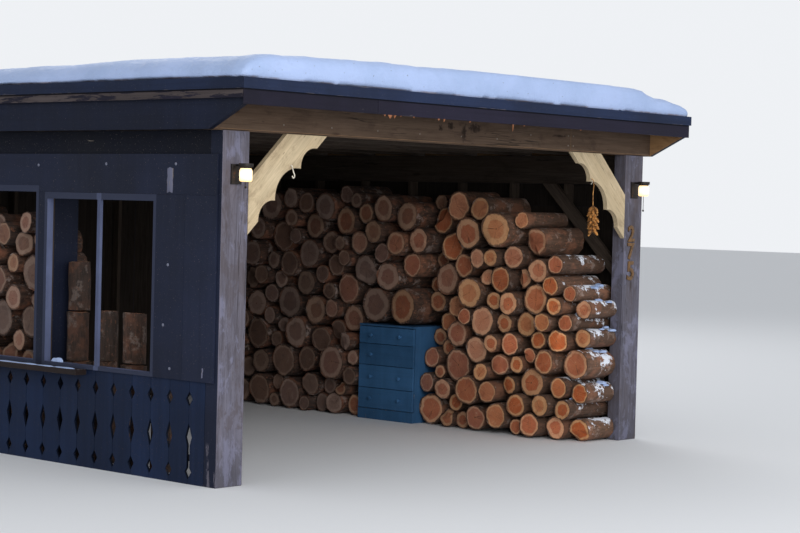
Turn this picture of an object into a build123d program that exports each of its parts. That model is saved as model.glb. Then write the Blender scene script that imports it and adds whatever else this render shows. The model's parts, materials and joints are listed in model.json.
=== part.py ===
from build123d import *
import math
import os
import random

# Log store: an open-fronted timber shelter with a nearly flat snow-covered roof.
# Frame: X across the open front, Y from the open front to the back, Z up, origin in the middle at ground level.

os.makedirs("parts", exist_ok=True)

# Width of the store over the outer faces of the posts; its depth follows from the windows and their margins
store_width = 4640.0

# Timber frame
post_width = 235.0
post_depth = 114.0
beam_underside = 2300.0
beam_height = 153.0
beam_thickness = 89.0
plate_height = 235.0
plate_thickness = 38.0
joist_thickness = 38.0
joist_spacing = 610.0
stud_thickness = 38.0
stud_depth = 89.0
stud_spacing = 610.0

# Roof edge and covering
side_overhang = 150.0
front_overhang = 336.0
rim_thickness = 38.0
fascia_thickness = 22.0
strip_proud = 12.0
strip_height = 71.0
purlin_height = 137.0
purlin_spacing = 600.0
deck_thickness = 18.0
covering_thickness = 14.0
mitre_gap = 1.0

# Snow on the roof, seen from the front: highest a little right of the middle and lowest at the right end
snow_left_thickness = 140.0
snow_crown_thickness = 188.0
snow_crown_near = 300.0
snow_crown_far = 950.0
snow_slump_thickness = 165.0
snow_slump_inset = 640.0
snow_right_thickness = 112.0
snow_right_inset = 430.0
snow_edge_inset = 6.0
snow_edge_slope = 45.0

# Painted sheets nailed outside the posts and studs
sheet_thickness = 12.0
sheet_gap = 2.0
header_joint_gap = 0.4
sheet_corner_inset = 30.0
sheet_top = 2146.0
header_sheet_bottom = 1879.0
corner_sheet_width = 302.0
blind_sheet_width = 1220.0

# Windows without glass in the left wall
window_count = 3
window_width = 1121.0
window_pitch = 1245.0
window_margin = 644.5
window_sill = 700.0
window_head = 1835.0
middle_window_rise = 45.0
frame_jamb = 27.0
frame_head = 44.0
frame_depth = 55.0
mullion_width = 45.0

# Fretwork boards below the windows
fret_board_width = 190.0
fret_thickness = 19.0
fret_cut_width = 57.0
fret_small_height = 100.0
fret_tall_height = 190.0
fret_low_centre = 80.0
fret_tall_centre = 305.0
fret_high_centre = 555.0
fret_break_width = 26.0
rail_height = 38.0
rail_depth = 38.0
low_rail_bottom = 147.0
ledge_length = 2270.0
ledge_thickness = 38.0
ledge_reach = 95.0

# Scalloped corner brackets, measured from the corner of beam and post
bracket_thickness = 38.0
bracket_beam_reach = 720.0
bracket_post_reach = 670.0
bracket_hole_width = 340.0
bracket_hole_height = 320.0
bracket_straight = 129.0
scallop_sagitta = 0.24
scallop_small_share = 0.28
scallop_big_share = 0.44

# Brace in the right wall
brace_width = 100.0
brace_thickness = 38.0
brace_foot = 1250.0
brace_rise = 815.0

# Stack of split-length logs along the right wall
stack_gap = 0.4
stack_end_gap = 0.5
log_length = 560.0
log_end_scatter = 110.0
stack_front_inset = 38.0
front_log_setback = 130.0
stack_back_offset = 25.0
log_radius_min = 62.0
log_radius_usual = 84.0
log_radius_max = 162.0
log_side_angle = 60.0
stack_front_height = 1000.0
stack_slope_length = 460.0
stack_shoulder_height = 1810.0
stack_shoulder_length = 800.0
stack_full_height = 2000.0
stack_wave_height = 25.0
stack_wave_length = 310.0
chest_log_radius = 168.0
chest_side_setback = 240.0
chest_side_reach = 620.0
log_seed = 11

# Stack behind the left wall and the rounds set on end
left_stack_inset = 150.0
left_stack_height = 1780.0
left_log_length = 480.0
left_log_seed = 5
end_board_width = 215.0
end_board_height = 1950.0
end_board_thickness = 25.0

# Columns of rounds set on end behind the front window, counted from the end board towards the front
round_columns = 4
round_radius = 104.0
round_girth_scatter = 12.0
round_length = 352.0
round_length_scatter = 16.0
round_inset = 250.0
round_shift = 22.0
round_spacing = 300.0
round_board_gap = 6.0
round_tall_count = 4
round_low_count = 3
round_gap = 0.4
round_sides = 12
round_seed = 3

# Chest of drawers set into the stack
chest_width = 633.0
chest_depth = 450.0
chest_front_offset = 1810.0
chest_board = 18.0
chest_plinth_height = 96.0
chest_back_thickness = 6.0
drawer_1_space = 178.0
drawer_2_space = 197.0
drawer_3_space = 185.0
drawer_4_space = 149.0
drawer_front_thickness = 18.0
drawer_gap = 5.0
drawer_side_gap = 5.0
drawer_board = 10.0
drawer_box_height = 112.0
drawer_back_space = 20.0
runner_thickness = 14.0
runner_height = 16.0
runner_clearance = 0.3
knob_radius = 17.0
knob_reach = 26.0
knob_neck_radius = 8.0
knob_head_thickness = 12.0
knob_inset = 152.0
knob_sides = 12

# Jar lanterns on the front posts
lantern_height = 2020.0
lantern_reach = 95.0
lantern_radius = 42.0
lantern_jar_height = 95.0
lantern_plate_width = 90.0
lantern_plate_height = 130.0
lantern_plate_thickness = 10.0
lantern_cap_height = 22.0
lantern_cap_rim = 6.0
lantern_arm_width = 18.0
lantern_arm_height = 14.0
lantern_jar_chamfer = 12.0

# Feeder of cones hung from the right bracket
feeder_offset = 470.0
feeder_drop = 205.0
feeder_radius = 44.0
feeder_foot_radius = 22.0
feeder_height = 250.0
feeder_sides = 10
feeder_wire_thickness = 3.5
feeder_wire_length = 210.0
feeder_wire_overlap = 10.0
feeder_peg_thickness = 4.5
feeder_peg_length = 14.0

# Levels and lines that follow from the sizes above
store_depth = 2 * window_margin + (window_count - 1) * window_pitch + window_width
half_width = store_width / 2
half_depth = store_depth / 2
roof_frame_bottom = beam_underside + beam_height
deck_bottom = roof_frame_bottom + purlin_height
deck_top = deck_bottom + deck_thickness
covering_top = deck_top + covering_thickness
plate_bottom = beam_underside - plate_height
roof_half_width = half_width + side_overhang
roof_half_depth = half_depth + front_overhang
inner_roof_half_width = roof_half_width - fascia_thickness
inner_roof_half_depth = roof_half_depth - fascia_thickness
left_face = -half_width
front_face = -half_depth
stud_inner_face = half_width - stud_depth
window_rough_sill = window_sill - frame_jamb
sheet_bottom = window_rough_sill


def block(x0, x1, y0, y1, z0, z1):
    """Box between two corners."""
    centre = ((x0 + x1) / 2, (y0 + y1) / 2, (z0 + z1) / 2)
    return Pos(*centre) * Box(x1 - x0, y1 - y0, z1 - z0)


def save(name, solids):
    """Write one node, made of one solid or of several that don't touch."""
    pieces = list(solids) if isinstance(solids, (list, tuple)) else [solids]
    whole = pieces[0] if len(pieces) == 1 else Compound(children=pieces)
    export_step(whole, f"parts/{name}.step")


def spread(start, end, spacing, width):
    """Near edges of members of one width, the outer two at the ends and the rest evenly between."""
    run = end - start - width
    count = max(1, round(run / spacing))
    return [start + run * index / count for index in range(count + 1)]


# Posts

def make_post(side, front):
    """Corner post; side is -1 at the left and 1 at the right."""
    x_outer = side * half_width
    x_inner = x_outer - side * post_width
    y_outer = front_face if front else half_depth
    y_inner = y_outer + (post_depth if front else -post_depth)
    xs = sorted((x_outer, x_inner))
    ys = sorted((y_outer, y_inner))
    return block(xs[0], xs[1], ys[0], ys[1], 0, beam_underside)


save("front_post_left", make_post(-1, True))
save("front_post_right", make_post(1, True))
save("back_posts", [make_post(-1, False), make_post(1, False)])


# Beams, plates and joists

rim_inner = inner_roof_half_width - rim_thickness


def make_beam(front):
    """Beam over the posts, flush with their outer faces and running out to the rim boards."""
    y_outer = front_face if front else half_depth
    y_inner = y_outer + (beam_thickness if front else -beam_thickness)
    ys = sorted((y_outer, y_inner))
    beam = block(-rim_inner, rim_inner, ys[0], ys[1], beam_underside, roof_frame_bottom)
    lower_edge = beam.edges().filter_by(Axis.X).group_by(Axis.Z)[0]
    outer_edge = lower_edge.sort_by(Axis.Y)[0 if front else -1]
    return chamfer(outer_edge, 10.0)


save("front_beam", make_beam(True))
save("back_beam", make_beam(False))


def make_plates():
    """Plates under the joists: left, right and back, between the posts."""
    y_near = front_face + post_depth
    y_far = half_depth - post_depth
    left = block(left_face, left_face + plate_thickness, y_near, y_far, plate_bottom, beam_underside)
    right = block(half_width - plate_thickness, half_width, y_near, y_far, plate_bottom, beam_underside)
    x_near = left_face + post_width
    x_far = half_width - post_width
    back = block(x_near, x_far, half_depth - plate_thickness, half_depth, plate_bottom, beam_underside)
    return [left, right, back]


save("wall_plates", make_plates())


def make_joists():
    """Cross joists between the front and back beams, resting on the side plates."""
    starts = spread(front_face, half_depth, joist_spacing, joist_thickness)[1:-1]
    return [block(-rim_inner, rim_inner, y, y + joist_thickness, beam_underside, roof_frame_bottom) for y in starts]


save("cross_joists", make_joists())


def make_rim(side):
    """Rim board along one side of the roof, its ends cut back on a slope."""
    profile = Polyline(
        (-inner_roof_half_depth, roof_frame_bottom),
        (inner_roof_half_depth, roof_frame_bottom),
        (half_depth, beam_underside),
        (-half_depth, beam_underside),
        close=True,
    )
    face = Plane.YZ * make_face(profile)
    x_start = rim_inner if side > 0 else -inner_roof_half_width
    return Pos(x_start, 0, 0) * extrude(face, amount=rim_thickness, dir=(1, 0, 0))


save("rim_boards", [make_rim(-1), make_rim(1)])


# Roof

def make_purlins():
    """Roof members from front to back, over the joists and between the fascias."""
    starts = spread(-inner_roof_half_width, inner_roof_half_width, purlin_spacing, joist_thickness)
    y = inner_roof_half_depth
    return [block(x, x + joist_thickness, -y, y, roof_frame_bottom, deck_bottom) for x in starts]


save("purlins", make_purlins())
save("roof_deck", block(-inner_roof_half_width, inner_roof_half_width, -inner_roof_half_depth,
                        inner_roof_half_depth, deck_bottom, deck_top))
save("roof_covering", block(-roof_half_width, roof_half_width, -roof_half_depth, roof_half_depth,
                            deck_top, covering_top))


def make_edge_boards(half_x, half_y, thickness, z0, z1):
    """Four mitred boards round a rectangle, lying inside its outline."""
    boards = []
    for side in (-1, 1):
        long_board = Polyline(
            (-half_x + mitre_gap, side * half_y),
            (half_x - mitre_gap, side * half_y),
            (half_x - thickness - mitre_gap, side * (half_y - thickness)),
            (-half_x + thickness + mitre_gap, side * (half_y - thickness)),
            close=True,
        )
        side_board = Polyline(
            (side * half_x, -half_y + mitre_gap),
            (side * half_x, half_y - mitre_gap),
            (side * (half_x - thickness), half_y - thickness - mitre_gap),
            (side * (half_x - thickness), -half_y + thickness + mitre_gap),
            close=True,
        )
        for outline in (long_board, side_board):
            board = extrude(make_face(outline), amount=z1 - z0, dir=(0, 0, 1))
            boards.append(Pos(0, 0, z0) * board)
    return boards


save("fascia_boards", make_edge_boards(roof_half_width, roof_half_depth, fascia_thickness,
                                       roof_frame_bottom, deck_top))
save("eave_strips", make_edge_boards(roof_half_width + strip_proud, roof_half_depth + strip_proud, strip_proud,
                                     covering_top - strip_height, covering_top))


def make_snow():
    """Blanket of snow on the whole roof, higher in the middle and sloped off at its edges."""
    x = roof_half_width + strip_proud - snow_edge_inset
    y = roof_half_depth + strip_proud - snow_edge_inset
    top_line = (
        (-x, snow_left_thickness),
        (snow_crown_near, snow_crown_thickness),
        (snow_crown_far, snow_crown_thickness),
        (x - snow_slump_inset, snow_slump_thickness),
        (x - snow_right_inset, snow_right_thickness),
        (x, snow_right_thickness),
    )
    outline = Polyline((-x, 0), *top_line, (x, 0), close=True)
    snow = Pos(0, y, covering_top) * extrude(Plane.XZ * make_face(outline), amount=2 * y)
    foot = covering_top + min(snow_left_thickness, snow_right_thickness) * 0.5
    top_edges = [edge for edge in snow.edges() if edge.center().Z > foot]
    rim = [edge for edge in top_edges if abs(abs(edge.center().Y) - y) < 1 or abs(abs(edge.center().X) - x) < 1]
    upright = [edge for edge in rim if abs(edge.tangent_at(0).Z) > 0.9]
    return chamfer([edge for edge in rim if edge not in upright], snow_edge_slope)


save("roof_snow", make_snow())


# Left wall

def window_edges(index):
    """Near and far sides of one window's clear opening."""
    first_near = -((window_count - 1) * window_pitch + window_width) / 2
    near = first_near + index * window_pitch
    return near, near + window_width


def head_level(index):
    """Top of one window's clear opening; the middle one is a little taller."""
    is_middle = index == window_count // 2
    return window_head + (middle_window_rise if is_middle else 0)


def make_rough_opening(index):
    """Space that one window frame fills, through the sheets."""
    near, far = window_edges(index)
    reach = frame_depth
    return block(left_face - reach, left_face + reach, near - frame_jamb, far + frame_jamb,
                 window_rough_sill, head_level(index) + frame_head)


sheet_front = front_face + sheet_corner_inset
sheet_back = half_depth - sheet_corner_inset


def make_left_header():
    """Long sheet over the windows, notched where the middle frame stands taller."""
    sheet = block(left_face - sheet_thickness, left_face, sheet_front, sheet_back,
                  header_sheet_bottom + header_joint_gap, sheet_top)
    for index in range(window_count):
        sheet = sheet - make_rough_opening(index)
    return sheet


def make_left_sheets():
    """Sheets beside and between the windows: the corners, and those that reach the frames."""
    corners = []
    others = []
    first_near = window_edges(0)[0] - frame_jamb
    last_far = window_edges(window_count - 1)[1] + frame_jamb
    x0 = left_face - sheet_thickness
    corner_front = sheet_front + corner_sheet_width
    corner_back = sheet_back - corner_sheet_width
    corners.append(block(x0, left_face, sheet_front, corner_front, sheet_bottom, header_sheet_bottom))
    corners.append(block(x0, left_face, corner_back, sheet_back, sheet_bottom, header_sheet_bottom))
    others.append(block(x0, left_face, corner_front + sheet_gap, first_near, sheet_bottom, header_sheet_bottom))
    for index in range(window_count - 1):
        near = window_edges(index)[1] + frame_jamb
        far = window_edges(index + 1)[0] - frame_jamb
        others.append(block(x0, left_face, near, far, sheet_bottom, header_sheet_bottom))
    others.append(block(x0, left_face, last_far, corner_back - sheet_gap, sheet_bottom, header_sheet_bottom))
    return corners, others


left_corner_sheets, left_window_sheets = make_left_sheets()
save("left_header_sheet", make_left_header())
save("left_corner_sheets", left_corner_sheets)
save("left_window_sheets", left_window_sheets)


def make_window_frame(index):
    """Frame of one window with its mullion, flush with the outside of the sheets."""
    near, far = window_edges(index)
    head = head_level(index)
    x0 = left_face - sheet_thickness
    x1 = x0 + frame_depth
    frame = block(x0, x1, near - frame_jamb, far + frame_jamb, window_rough_sill, head + frame_head)
    middle = (near + far) / 2
    for low, high in ((near, middle - mullion_width / 2), (middle + mullion_width / 2, far)):
        frame = frame - block(x0 - 1, x1 + 1, low, high, window_sill, head)
    return frame


for number, place in enumerate(("front", "middle", "back")):
    save(f"window_frame_{place}", make_window_frame(number))

fret_front = front_face + post_depth
fret_back = half_depth - post_depth
fret_top = window_rough_sill


def diamond(y, z, width, height):
    """Upright diamond cut through the fretwork boards."""
    outline = Polyline((y, z - height / 2), (y + width / 2, z), (y, z + height / 2), (y - width / 2, z), close=True)
    cut = extrude(Plane.YZ * make_face(outline), amount=fret_thickness + 2, dir=(1, 0, 0))
    return Pos(left_face - 1, 0, 0) * cut


def make_fretwork():
    """Upright boards with three rows of diamonds sawn out where they meet; the first joint has broken open."""
    x0 = left_face
    x1 = left_face + fret_thickness
    panel = block(x0, x1, fret_front, fret_back, 0, fret_top)
    joints = int((fret_back - fret_front) / fret_board_width)
    rows = (
        (fret_low_centre, fret_small_height),
        (fret_tall_centre, fret_tall_height),
        (fret_high_centre, fret_small_height),
    )
    cuts = []
    for index in range(joints):
        y = (index - (joints - 1) / 2) * fret_board_width
        for centre, height in rows:
            cuts.append(diamond(y, centre, fret_cut_width, height))
    first_joint = -(joints - 1) / 2 * fret_board_width
    cuts.append(block(x0 - 1, x1 + 1, first_joint - fret_break_width / 2, first_joint + fret_break_width / 2,
                      fret_low_centre, fret_tall_centre))
    return panel - cuts


save("fretwork_panel", make_fretwork())

ledge_top = window_rough_sill
save("ledge_board", block(left_face - ledge_reach, left_face, -ledge_length / 2, ledge_length / 2,
                          ledge_top - ledge_thickness, ledge_top))

rail_face = left_face + fret_thickness
upper_stud_foot = window_rough_sill


def left_stud_places():
    """Near edges of the studs beside and between the windows."""
    places = [window_edges(0)[0] - frame_jamb - stud_thickness]
    for index in range(window_count - 1):
        middle = (window_edges(index)[1] + window_edges(index + 1)[0]) / 2
        places.append(middle - stud_thickness / 2)
    places.append(window_edges(window_count - 1)[1] + frame_jamb)
    return places


def make_left_studs():
    """Upper studs, standing on the sill rail and the short studs."""
    return [block(left_face, left_face + stud_depth, y, y + stud_thickness,
                  upper_stud_foot, plate_bottom) for y in left_stud_places()]


def make_left_rails():
    """Rails behind the fretwork and lintels over the windows."""
    top_rail = block(rail_face, rail_face + rail_depth, fret_front, fret_back, fret_top - rail_height, fret_top)
    low_rail = block(rail_face, rail_face + rail_depth, fret_front, fret_back, low_rail_bottom,
                     low_rail_bottom + rail_height)
    rails = [top_rail, low_rail]
    places = left_stud_places()
    for index in range(window_count):
        y0 = places[index] + stud_thickness
        y1 = places[index + 1]
        z0 = head_level(index) + frame_head
        rails.append(block(left_face, left_face + stud_depth, y0, y1, z0, z0 + rail_height))
    return rails


def make_short_studs():
    """Short studs that carry the rails from behind."""
    x0 = rail_face + rail_depth
    return [block(x0, x0 + stud_thickness, y, y + stud_thickness, 0, upper_stud_foot) for y in left_stud_places()]


save("left_studs", make_left_studs())
save("left_rails", make_left_rails())
save("left_short_studs", make_short_studs())


# Right and back walls, closed with sheets

def blind_sheets(start, end):
    """Near and far edges of equal sheets that fill a blind wall."""
    count = max(1, round((end - start) / blind_sheet_width))
    width = (end - start) / count
    return [(start + index * width, start + (index + 1) * width - sheet_gap) for index in range(count)]


def make_right_sheets():
    """Header sheet and upright sheets of the right wall."""
    x0 = half_width
    x1 = half_width + sheet_thickness
    sheets = [block(x0, x1, sheet_front, sheet_back, header_sheet_bottom + header_joint_gap, sheet_top)]
    for y0, y1 in blind_sheets(sheet_front, sheet_back):
        sheets.append(block(x0, x1, y0, y1, 0, header_sheet_bottom))
    return sheets


def make_back_sheets():
    """Header sheet and upright sheets of the back wall."""
    y0 = half_depth
    y1 = half_depth + sheet_thickness
    x_start = left_face + sheet_corner_inset
    x_end = half_width - sheet_corner_inset
    sheets = [block(x_start, x_end, y0, y1, header_sheet_bottom + header_joint_gap, sheet_top)]
    for x0, x1 in blind_sheets(x_start, x_end):
        sheets.append(block(x0, x1, y0, y1, 0, header_sheet_bottom))
    return sheets


save("right_sheets", make_right_sheets())
save("back_sheets", make_back_sheets())


def make_right_studs():
    """Studs of the right wall, between the posts."""
    starts = spread(fret_front, fret_back, stud_spacing, stud_thickness)
    return [block(stud_inner_face, half_width, y, y + stud_thickness, 0, plate_bottom) for y in starts]


def make_back_studs():
    """Studs of the back wall, between the posts."""
    starts = spread(left_face + post_width, half_width - post_width, stud_spacing, stud_thickness)
    return [block(x, x + stud_thickness, half_depth - stud_depth, half_depth, 0, plate_bottom) for x in starts]


save("right_studs", make_right_studs())
save("back_studs", make_back_studs())


def make_brace():
    """Sloping brace on the inner faces of the right wall's studs, from the post up to the plate."""
    y0 = fret_front
    across = brace_width * math.sqrt(2)
    outline = Polyline(
        (y0, brace_foot),
        (y0 + brace_rise, brace_foot + brace_rise),
        (y0 + brace_rise - across, brace_foot + brace_rise),
        (y0, brace_foot + across),
        close=True,
    )
    brace = extrude(Plane.YZ * make_face(outline), amount=brace_thickness, dir=(1, 0, 0))
    return Pos(stud_inner_face - brace_thickness, 0, 0) * brace


save("right_brace", make_brace())


# Scalloped brackets

def bracket_outline():
    """Edge of one bracket, with X along the beam and Y down the post from their corner."""
    top_inner = Vector(bracket_beam_reach, 0)
    foot_inner = Vector(0, -bracket_post_reach)
    slope = (foot_inner - top_inner).normalized()
    run = (foot_inner - top_inner).length
    first = top_inner + slope * bracket_straight
    last = foot_inner - slope * bracket_straight
    span = run - 2 * bracket_straight
    cusp_1 = first + slope * (span * scallop_small_share)
    cusp_2 = cusp_1 + slope * (span * scallop_big_share)
    corners = [first, cusp_1, cusp_2, last]
    inward = Vector(-1, 1).normalized()
    edges = [Line(top_inner, first)]
    for start, end in zip(corners[:-1], corners[1:]):
        chord = (end - start).length
        middle = (start + end) * 0.5 + inward * (chord * scallop_sagitta)
        edges.append(ThreePointArc(start, middle, end))
    hole_foot = Vector(0, -bracket_hole_height)
    hole_top = Vector(bracket_hole_width, 0)
    edges.append(Line(last, foot_inner))
    edges.append(Line(foot_inner, hole_foot))
    edges.append(Line(hole_foot, hole_top))
    edges.append(Line(hole_top, top_inner))
    return edges


def make_bracket(side):
    """Bracket plank in the corner of the front beam and one post, flush with their faces."""
    face = make_face(bracket_outline())
    upright = Plane.XZ * face
    plank = extrude(upright, amount=bracket_thickness, dir=(0, 1, 0))
    if side > 0:
        plank = mirror(plank, about=Plane.YZ)
    x_corner = side * (half_width - post_width)
    return Pos(x_corner, front_face, beam_underside) * plank


save("bracket_left", make_bracket(-1))
save("bracket_right", make_bracket(1))


# Lanterns

def lantern_centre(side):
    """Middle of one jar, in front of its post."""
    return side * (half_width - post_width / 2), front_face - lantern_reach, lantern_height


def make_lantern_mount(side):
    """Wall plate, arm and cap that carry one jar."""
    x, y, z = lantern_centre(side)
    plate = block(x - lantern_plate_width / 2, x + lantern_plate_width / 2, front_face - lantern_plate_thickness,
                  front_face, z - lantern_plate_height / 2, z + lantern_plate_height / 2)
    cap_bottom = z + lantern_jar_height / 2
    cap_middle = cap_bottom + lantern_cap_height / 2
    cap = Pos(x, y, cap_middle) * Cylinder(lantern_radius + lantern_cap_rim, lantern_cap_height)
    arm = block(x - lantern_arm_width / 2, x + lantern_arm_width / 2, y, front_face - lantern_plate_thickness,
                cap_middle - lantern_arm_height / 2, cap_middle + lantern_arm_height / 2)
    return plate + cap + arm


def make_jar(side):
    """Glass jar under one cap."""
    x, y, z = lantern_centre(side)
    jar = Pos(x, y, z) * Cylinder(lantern_radius, lantern_jar_height)
    return chamfer(jar.faces().sort_by(Axis.Z)[0].edges(), lantern_jar_chamfer)


save("lantern_mounts", [make_lantern_mount(-1), make_lantern_mount(1)])
save("lantern_jars", [make_jar(-1), make_jar(1)])


# Feeder of cones

def make_feeder():
    """Bunch of cones on a wire, hung from a peg in the right bracket beside a scallop."""
    x = half_width - post_width - feeder_offset
    z_peg = beam_underside - feeder_drop
    y = front_face - feeder_peg_length / 2
    peg = Pos(x, y, z_peg) * Box(feeder_peg_thickness, feeder_peg_length, feeder_peg_thickness)
    wire = Pos(x, y, z_peg - feeder_wire_length / 2) * Box(feeder_wire_thickness, feeder_wire_thickness, feeder_wire_length)
    top = z_peg - feeder_wire_length + feeder_wire_overlap
    head = Plane((x, y, top)) * RegularPolygon(feeder_radius, feeder_sides)
    foot = Plane((x, y, top - feeder_height)) * RegularPolygon(feeder_foot_radius, feeder_sides)
    return peg + wire + loft([foot, head])


save("cone_feeder", make_feeder())


# Piles of logs

class Pile:
    """Logs laid one by one, each in the lowest place that is free, seen along their length."""

    def __init__(self, left, right, ceiling, chest=None):
        self.left = left
        self.right = right
        self.ceiling = ceiling
        self.chest = chest
        self.logs = []

    def is_free(self, y, z, radius):
        """True where a log clears the ground, the ends, the chest, the other logs and the ceiling."""
        slack = stack_gap * 0.5
        if z < radius - slack or y - radius < self.left - slack or y + radius > self.right + slack:
            return False
        if z + radius > self.ceiling(y):
            return False
        if self.chest:
            near, far, top = self.chest
            dy = max(near - y, 0, y - far)
            dz = max(z - top, 0)
            if math.hypot(dy, dz) < radius + slack:
                return False
        for other_y, other_z, other_radius in self.logs:
            reach = radius + other_radius + slack
            if abs(other_y - y) < reach and math.hypot(other_y - y, other_z - z) < reach:
                return False
        return True

    def rests(self, radius):
        """Places where a log touches two supports."""
        walls = [self.left + radius, self.right - radius]
        floors = [(radius, self.left, self.right)]
        points = []
        if self.chest:
            near, far, top = self.chest
            walls += [near - radius - stack_gap, far + radius + stack_gap]
            floors.append((top + radius + stack_gap, near, far))
            points += [(near, top, 0.0), (far, top, 0.0)]
        for wall in walls:
            for level, low, high in floors:
                yield wall, level
        rounds = self.logs + points
        for index, (y1, z1, r1) in enumerate(rounds):
            reach_1 = r1 + radius + stack_gap
            for level, low, high in floors:
                drop = level - z1
                if abs(drop) < reach_1:
                    step = math.sqrt(reach_1 ** 2 - drop ** 2)
                    yield y1 - step, level
                    yield y1 + step, level
            for wall in walls:
                side = wall - y1
                if abs(side) < reach_1:
                    yield wall, z1 + math.sqrt(reach_1 ** 2 - side ** 2)
            for y2, z2, r2 in rounds[:index]:
                reach_2 = r2 + radius + stack_gap
                span = math.hypot(y2 - y1, z2 - z1)
                if span == 0 or span > reach_1 + reach_2:
                    continue
                along = (span ** 2 + reach_1 ** 2 - reach_2 ** 2) / (2 * span)
                height_squared = reach_1 ** 2 - along ** 2
                if height_squared < 0:
                    continue
                height = math.sqrt(height_squared)
                uy, uz = (y2 - y1) / span, (z2 - z1) / span
                for sign in (-1, 1):
                    yield y1 + uy * along - sign * uz * height, z1 + uz * along + sign * uy * height

    def lay(self, radius):
        """Put one log in the lowest free place, and say whether there was one."""
        best = None
        for y, z in self.rests(radius):
            if (best is None or z < best[1]) and self.is_free(y, z, radius):
                best = (y, z)
        if best is None:
            return False
        self.logs.append((best[0], best[1], radius))
        return True

    def fill(self, generator):
        """Lay logs of mixed girths until none of the last few fits."""
        misses = 0
        while misses < 8:
            radius = generator.triangular(log_radius_min, log_radius_max, log_radius_usual)
            if self.lay(radius):
                misses = 0
            else:
                misses += 1

    def touching_angles(self, log):
        """Directions in which one log meets the ground, the ends, the chest and other logs."""
        y, z, radius = log
        near = stack_gap * 2
        angles = []
        if z - radius < near:
            angles.append(-math.pi / 2)
        if y - radius - self.left < near:
            angles.append(math.pi)
        if self.right - y - radius < near:
            angles.append(0.0)
        if self.chest:
            chest_near, chest_far, top = self.chest
            py = min(max(y, chest_near), chest_far)
            pz = min(z, top)
            if math.hypot(y - py, z - pz) - radius < near:
                angles.append(math.atan2(pz - z, py - y))
        for other in self.logs:
            if other is log:
                continue
            dy, dz = other[0] - y, other[1] - z
            if math.hypot(dy, dz) - radius - other[2] < near:
                angles.append(math.atan2(dz, dy))
        return angles


def log_corners(angles):
    """Corner directions of a log's section: one at every contact and others evenly between."""
    turn = 2 * math.pi
    fixed = sorted(angle % turn for angle in angles) or [0.0]
    kept = [fixed[0]]
    for angle in fixed[1:]:
        if angle - kept[-1] > math.radians(4) and kept[0] + turn - angle > math.radians(4):
            kept.append(angle)
    corners = []
    for index, angle in enumerate(kept):
        following = kept[(index + 1) % len(kept)] + (turn if index + 1 == len(kept) else 0)
        steps = max(1, math.ceil((following - angle) / math.radians(log_side_angle)))
        corners += [angle + (following - angle) * step / steps for step in range(steps)]
    return corners


def make_log(pile, log, x0, x1):
    """One log along X, with a corner wherever it meets something."""
    y, z, radius = log
    corners = log_corners(pile.touching_angles(log))
    points = [(y + radius * math.cos(a), z + radius * math.sin(a)) for a in corners]
    face = Plane.YZ * make_face(Polyline(*points, close=True))
    return Pos(x0, 0, 0) * extrude(face, amount=x1 - x0, dir=(1, 0, 0))


drawer_spaces = [drawer_1_space, drawer_2_space, drawer_3_space, drawer_4_space]
chest_height = chest_plinth_height + sum(drawer_spaces) + chest_board
chest_near = front_face + chest_front_offset
chest_far = chest_near + chest_width
stack_inner_face = stud_inner_face - brace_thickness - stack_end_gap


def wave(y):
    """Rise and fall of a stack's top along its run."""
    turn = y / stack_wave_length
    return stack_wave_height * (math.sin(turn) + 0.5 * math.sin(2.3 * turn))


def right_ceiling(y):
    """Height limit of the right stack: low at the open front, steep to the shoulder, then gently up to its full height."""
    inwards = y - front_face - stack_front_inset
    steep = max(0.0, min(1.0, inwards / stack_slope_length))
    gentle = max(0.0, min(1.0, (inwards - stack_slope_length) / stack_shoulder_length))
    rise = (stack_shoulder_height - stack_front_height) * steep
    return stack_front_height + rise + (stack_full_height - stack_shoulder_height) * gentle + wave(y) * steep


def setback(y, z):
    """How far a log's end lies behind the stack's face: logs at the near side of the chest leave its side in sight."""
    nearness = max(0.0, 1.0 - (chest_near - y) / chest_side_reach) if y < chest_near else 0.0
    return chest_side_setback * nearness * min(1.0, z / chest_height)


def make_right_stacks():
    """Right stack, split into the part before the chest, on it and behind it."""
    generator = random.Random(log_seed)
    pile = Pile(front_face + stack_front_inset, fret_back - stack_back_offset, right_ceiling,
                (chest_near, chest_far, chest_height))
    chest_middle = (chest_near + chest_far) / 2
    for side in (-1, 1):
        pile.logs.append((chest_middle + side * (chest_log_radius + stack_gap / 2),
                          chest_height + chest_log_radius + stack_gap, chest_log_radius))
    pile.fill(generator)
    parts = {"log_stack_front": [], "log_stack_on_chest": [], "log_stack_back": []}
    for log in pile.logs:
        scatter = log_end_scatter * (generator.random() - 0.5)
        x0 = stack_inner_face - log_length + scatter + setback(log[0], log[1])
        x1 = stack_inner_face
        if log[0] - log[2] < fret_front + stack_end_gap:
            x0 += front_log_setback
            x1 = half_width - post_width - stack_end_gap
        solid = make_log(pile, log, x0, x1)
        if log[0] < chest_near:
            parts["log_stack_front"].append(solid)
        elif log[0] < chest_far:
            parts["log_stack_on_chest"].append(solid)
        else:
            parts["log_stack_back"].append(solid)
    return parts


right_stacks = make_right_stacks()
for stack_name, stack_logs in right_stacks.items():
    save(stack_name, stack_logs)


board_far = left_stud_places()[1] + stud_thickness
board_face = rail_face + rail_depth + stud_thickness


def left_ceiling(y):
    """Height limit of the left stack."""
    return left_stack_height + wave(y)


def make_left_stack():
    """Stack behind the left wall, from the end board to the back wall."""
    generator = random.Random(left_log_seed)
    pile = Pile(board_far + stack_gap, fret_back - stack_back_offset, left_ceiling)
    pile.fill(generator)
    x0 = left_face + left_stack_inset
    solids = []
    for log in pile.logs:
        start = x0 + log_end_scatter * (generator.random() - 0.5)
        solids.append(make_log(pile, log, start, x0 + left_log_length))
    return solids


left_stack = make_left_stack()
save("log_stack_left", left_stack)
save("stack_end_board", block(board_face, board_face + end_board_width, board_far - end_board_thickness, board_far,
                              0, end_board_height))


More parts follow.
